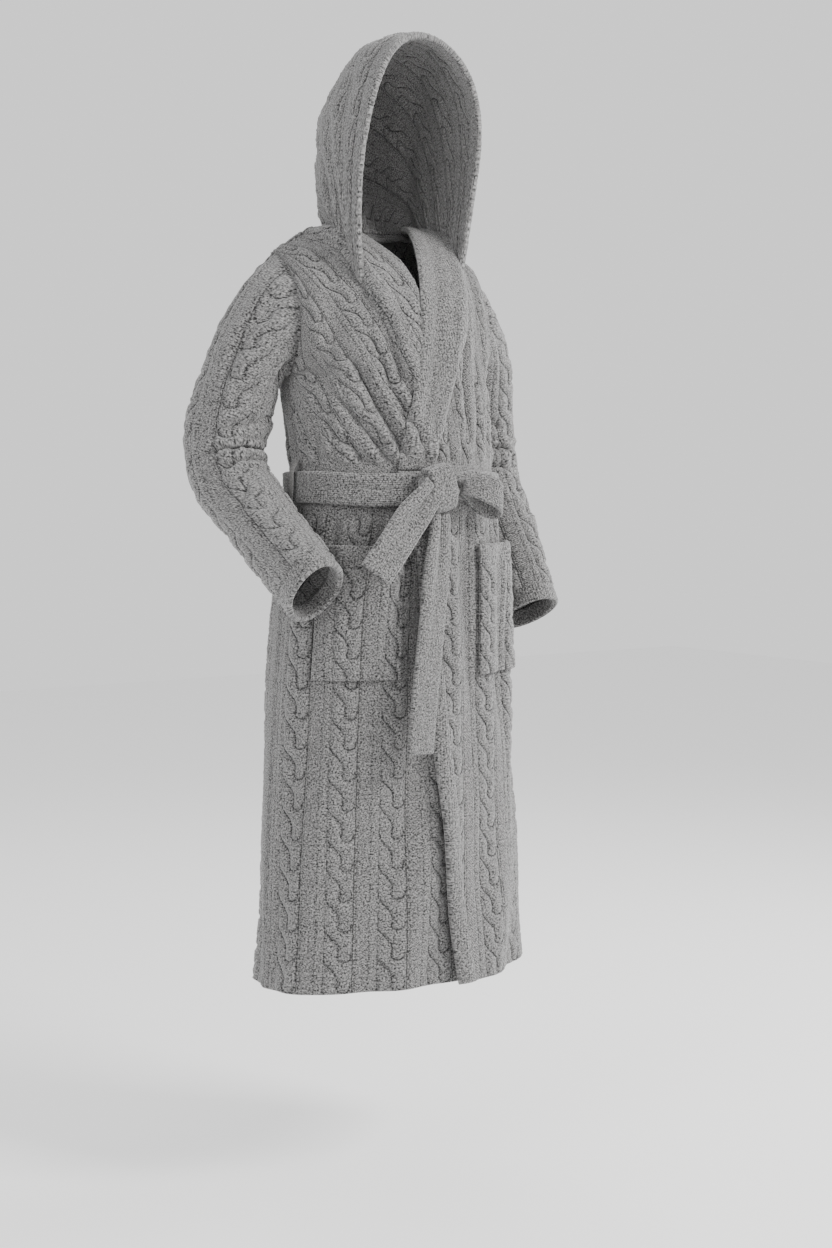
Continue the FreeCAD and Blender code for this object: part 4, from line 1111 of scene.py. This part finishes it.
def nape_piece(name, half, low, high, offset, thick, material):
    share = stations(2 * half * 3.0, 2.6)
    angle, row = np.meshgrid(mix(-half, half, share), np.linspace(low, high, 24), indexing="ij")
    base = body(angle, row, False)
    n = normals(base, False)
    way = sense(n[..., 2] + n[..., 1])
    base = base - n * way * (offset + thick / 2)
    uv = np.stack([across_cloth(angle), down_cloth(row)], -1)
    obj = cloth(name, base, uv, material, thick=thick, mask=0.0, side=way, fuzz=0.05, radius=1.0)
    add(obj, "robe", [name])


nape_piece("neck_tape", 24.0, 2.72, TOP_ROW, CLOTH + 3.0, 2.5, TAPE)
nape_piece("care_label", 7.0, 2.45, 2.70, CLOTH + 3.0, 0.8, SATIN)
hang_t = np.linspace(0.0, 1.0, 90)
hx = -np.cos(math.pi * hang_t)
hanger_path = np.stack([np.sign(hx) * np.abs(hx) ** 0.6 * 26.0, np.full_like(hang_t, -2.5),
                        -14.0 - 29.0 * np.abs(np.sin(math.pi * hang_t)) ** 0.5], -1)
tangent = unit(np.gradient(hanger_path, axis=0))
hang_across = np.cross(tangent, np.array([0.0, 1.0, 0.0]))
hanger = ribbon("hanging_loop", hanger_path, hang_across, 9.0, 2.6, fuzz=0.1, cell=1.6)
hanger.data.materials[0] = TAPE
add(hanger, "hanger", ["hanging_loop"])

# ---------------------------------------------------------------- floor, light and camera
FLOOR_Z = -1.57


def plain_material(name, colour):
    material = bpy.data.materials.new(name)
    material.use_nodes = True
    shader = material.node_tree.nodes["Principled BSDF"]
    shader.inputs["Base Color"].default_value = (*colour, 1.0)
    shader.inputs["Roughness"].default_value = 0.9
    return material


bpy.ops.mesh.primitive_plane_add(size=14.0, location=(0.0, 0.0, FLOOR_Z))
floor = bpy.context.object
floor.data.materials.append(plain_material("floor", (0.93, 0.93, 0.93)))
floor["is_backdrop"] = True


def area_light(name, place, aim, size, power, colour=(1.0, 1.0, 1.0)):
    data = bpy.data.lights.new(name, "AREA")
    data.size = size
    data.energy = power
    data.color = colour
    lamp = bpy.data.objects.new(name, data)
    bpy.context.scene.collection.objects.link(lamp)
    lamp.location = place
    look_at(lamp, aim)
    lamp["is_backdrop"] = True


def look_at(obj, aim):
    direction = Vector(aim) - Vector(obj.location)
    obj.rotation_euler = direction.to_track_quat("-Z", "Y").to_euler()


area_light("key", (1.5, -2.6, 1.5), (0.0, -0.1, -0.5), 1.2, 150.0, (1.0, 0.99, 0.975))
area_light("fill", (-3.0, -0.9, 0.6), (0.0, -0.1, -0.6), 1.6, 34.0)
area_light("side", (2.8, -0.4, 0.5), (0.0, -0.1, -0.6), 1.4, 50.0)
area_light("rim", (1.2, 2.2, 1.4), (0.0, 0.0, -0.3), 1.6, 24.0)
world = bpy.data.worlds.new("studio")
bpy.context.scene.world = world
world.use_nodes = True
world.node_tree.nodes["Background"].inputs[0].default_value = (0.97, 0.97, 0.97, 1.0)
world.node_tree.nodes["Background"].inputs[1].default_value = 1.15

camera_data = bpy.data.cameras.new("camera")
camera_data.lens = 60.9
camera_data.sensor_width = 36.0
camera = bpy.data.objects.new("camera", camera_data)
bpy.context.scene.collection.objects.link(camera)
AIM = (0.077, -0.054, -0.6635)
AZIMUTH, ELEVATION, DISTANCE = math.radians(-35.0), math.radians(4.5), 3.6
camera.location = (AIM[0] + DISTANCE * math.sin(AZIMUTH) * math.cos(ELEVATION),
                   AIM[1] - DISTANCE * math.cos(AZIMUTH) * math.cos(ELEVATION),
                   AIM[2] + DISTANCE * math.sin(ELEVATION))
look_at(camera, AIM)
bpy.context.scene.camera = camera

END_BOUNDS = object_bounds()


def plain(bounds):
    return json.loads(json.dumps(bounds, default=lambda item: [float(number) for number in item]))


{"at_load": plain(START_BOUNDS), "at_finish": plain(END_BOUNDS)}
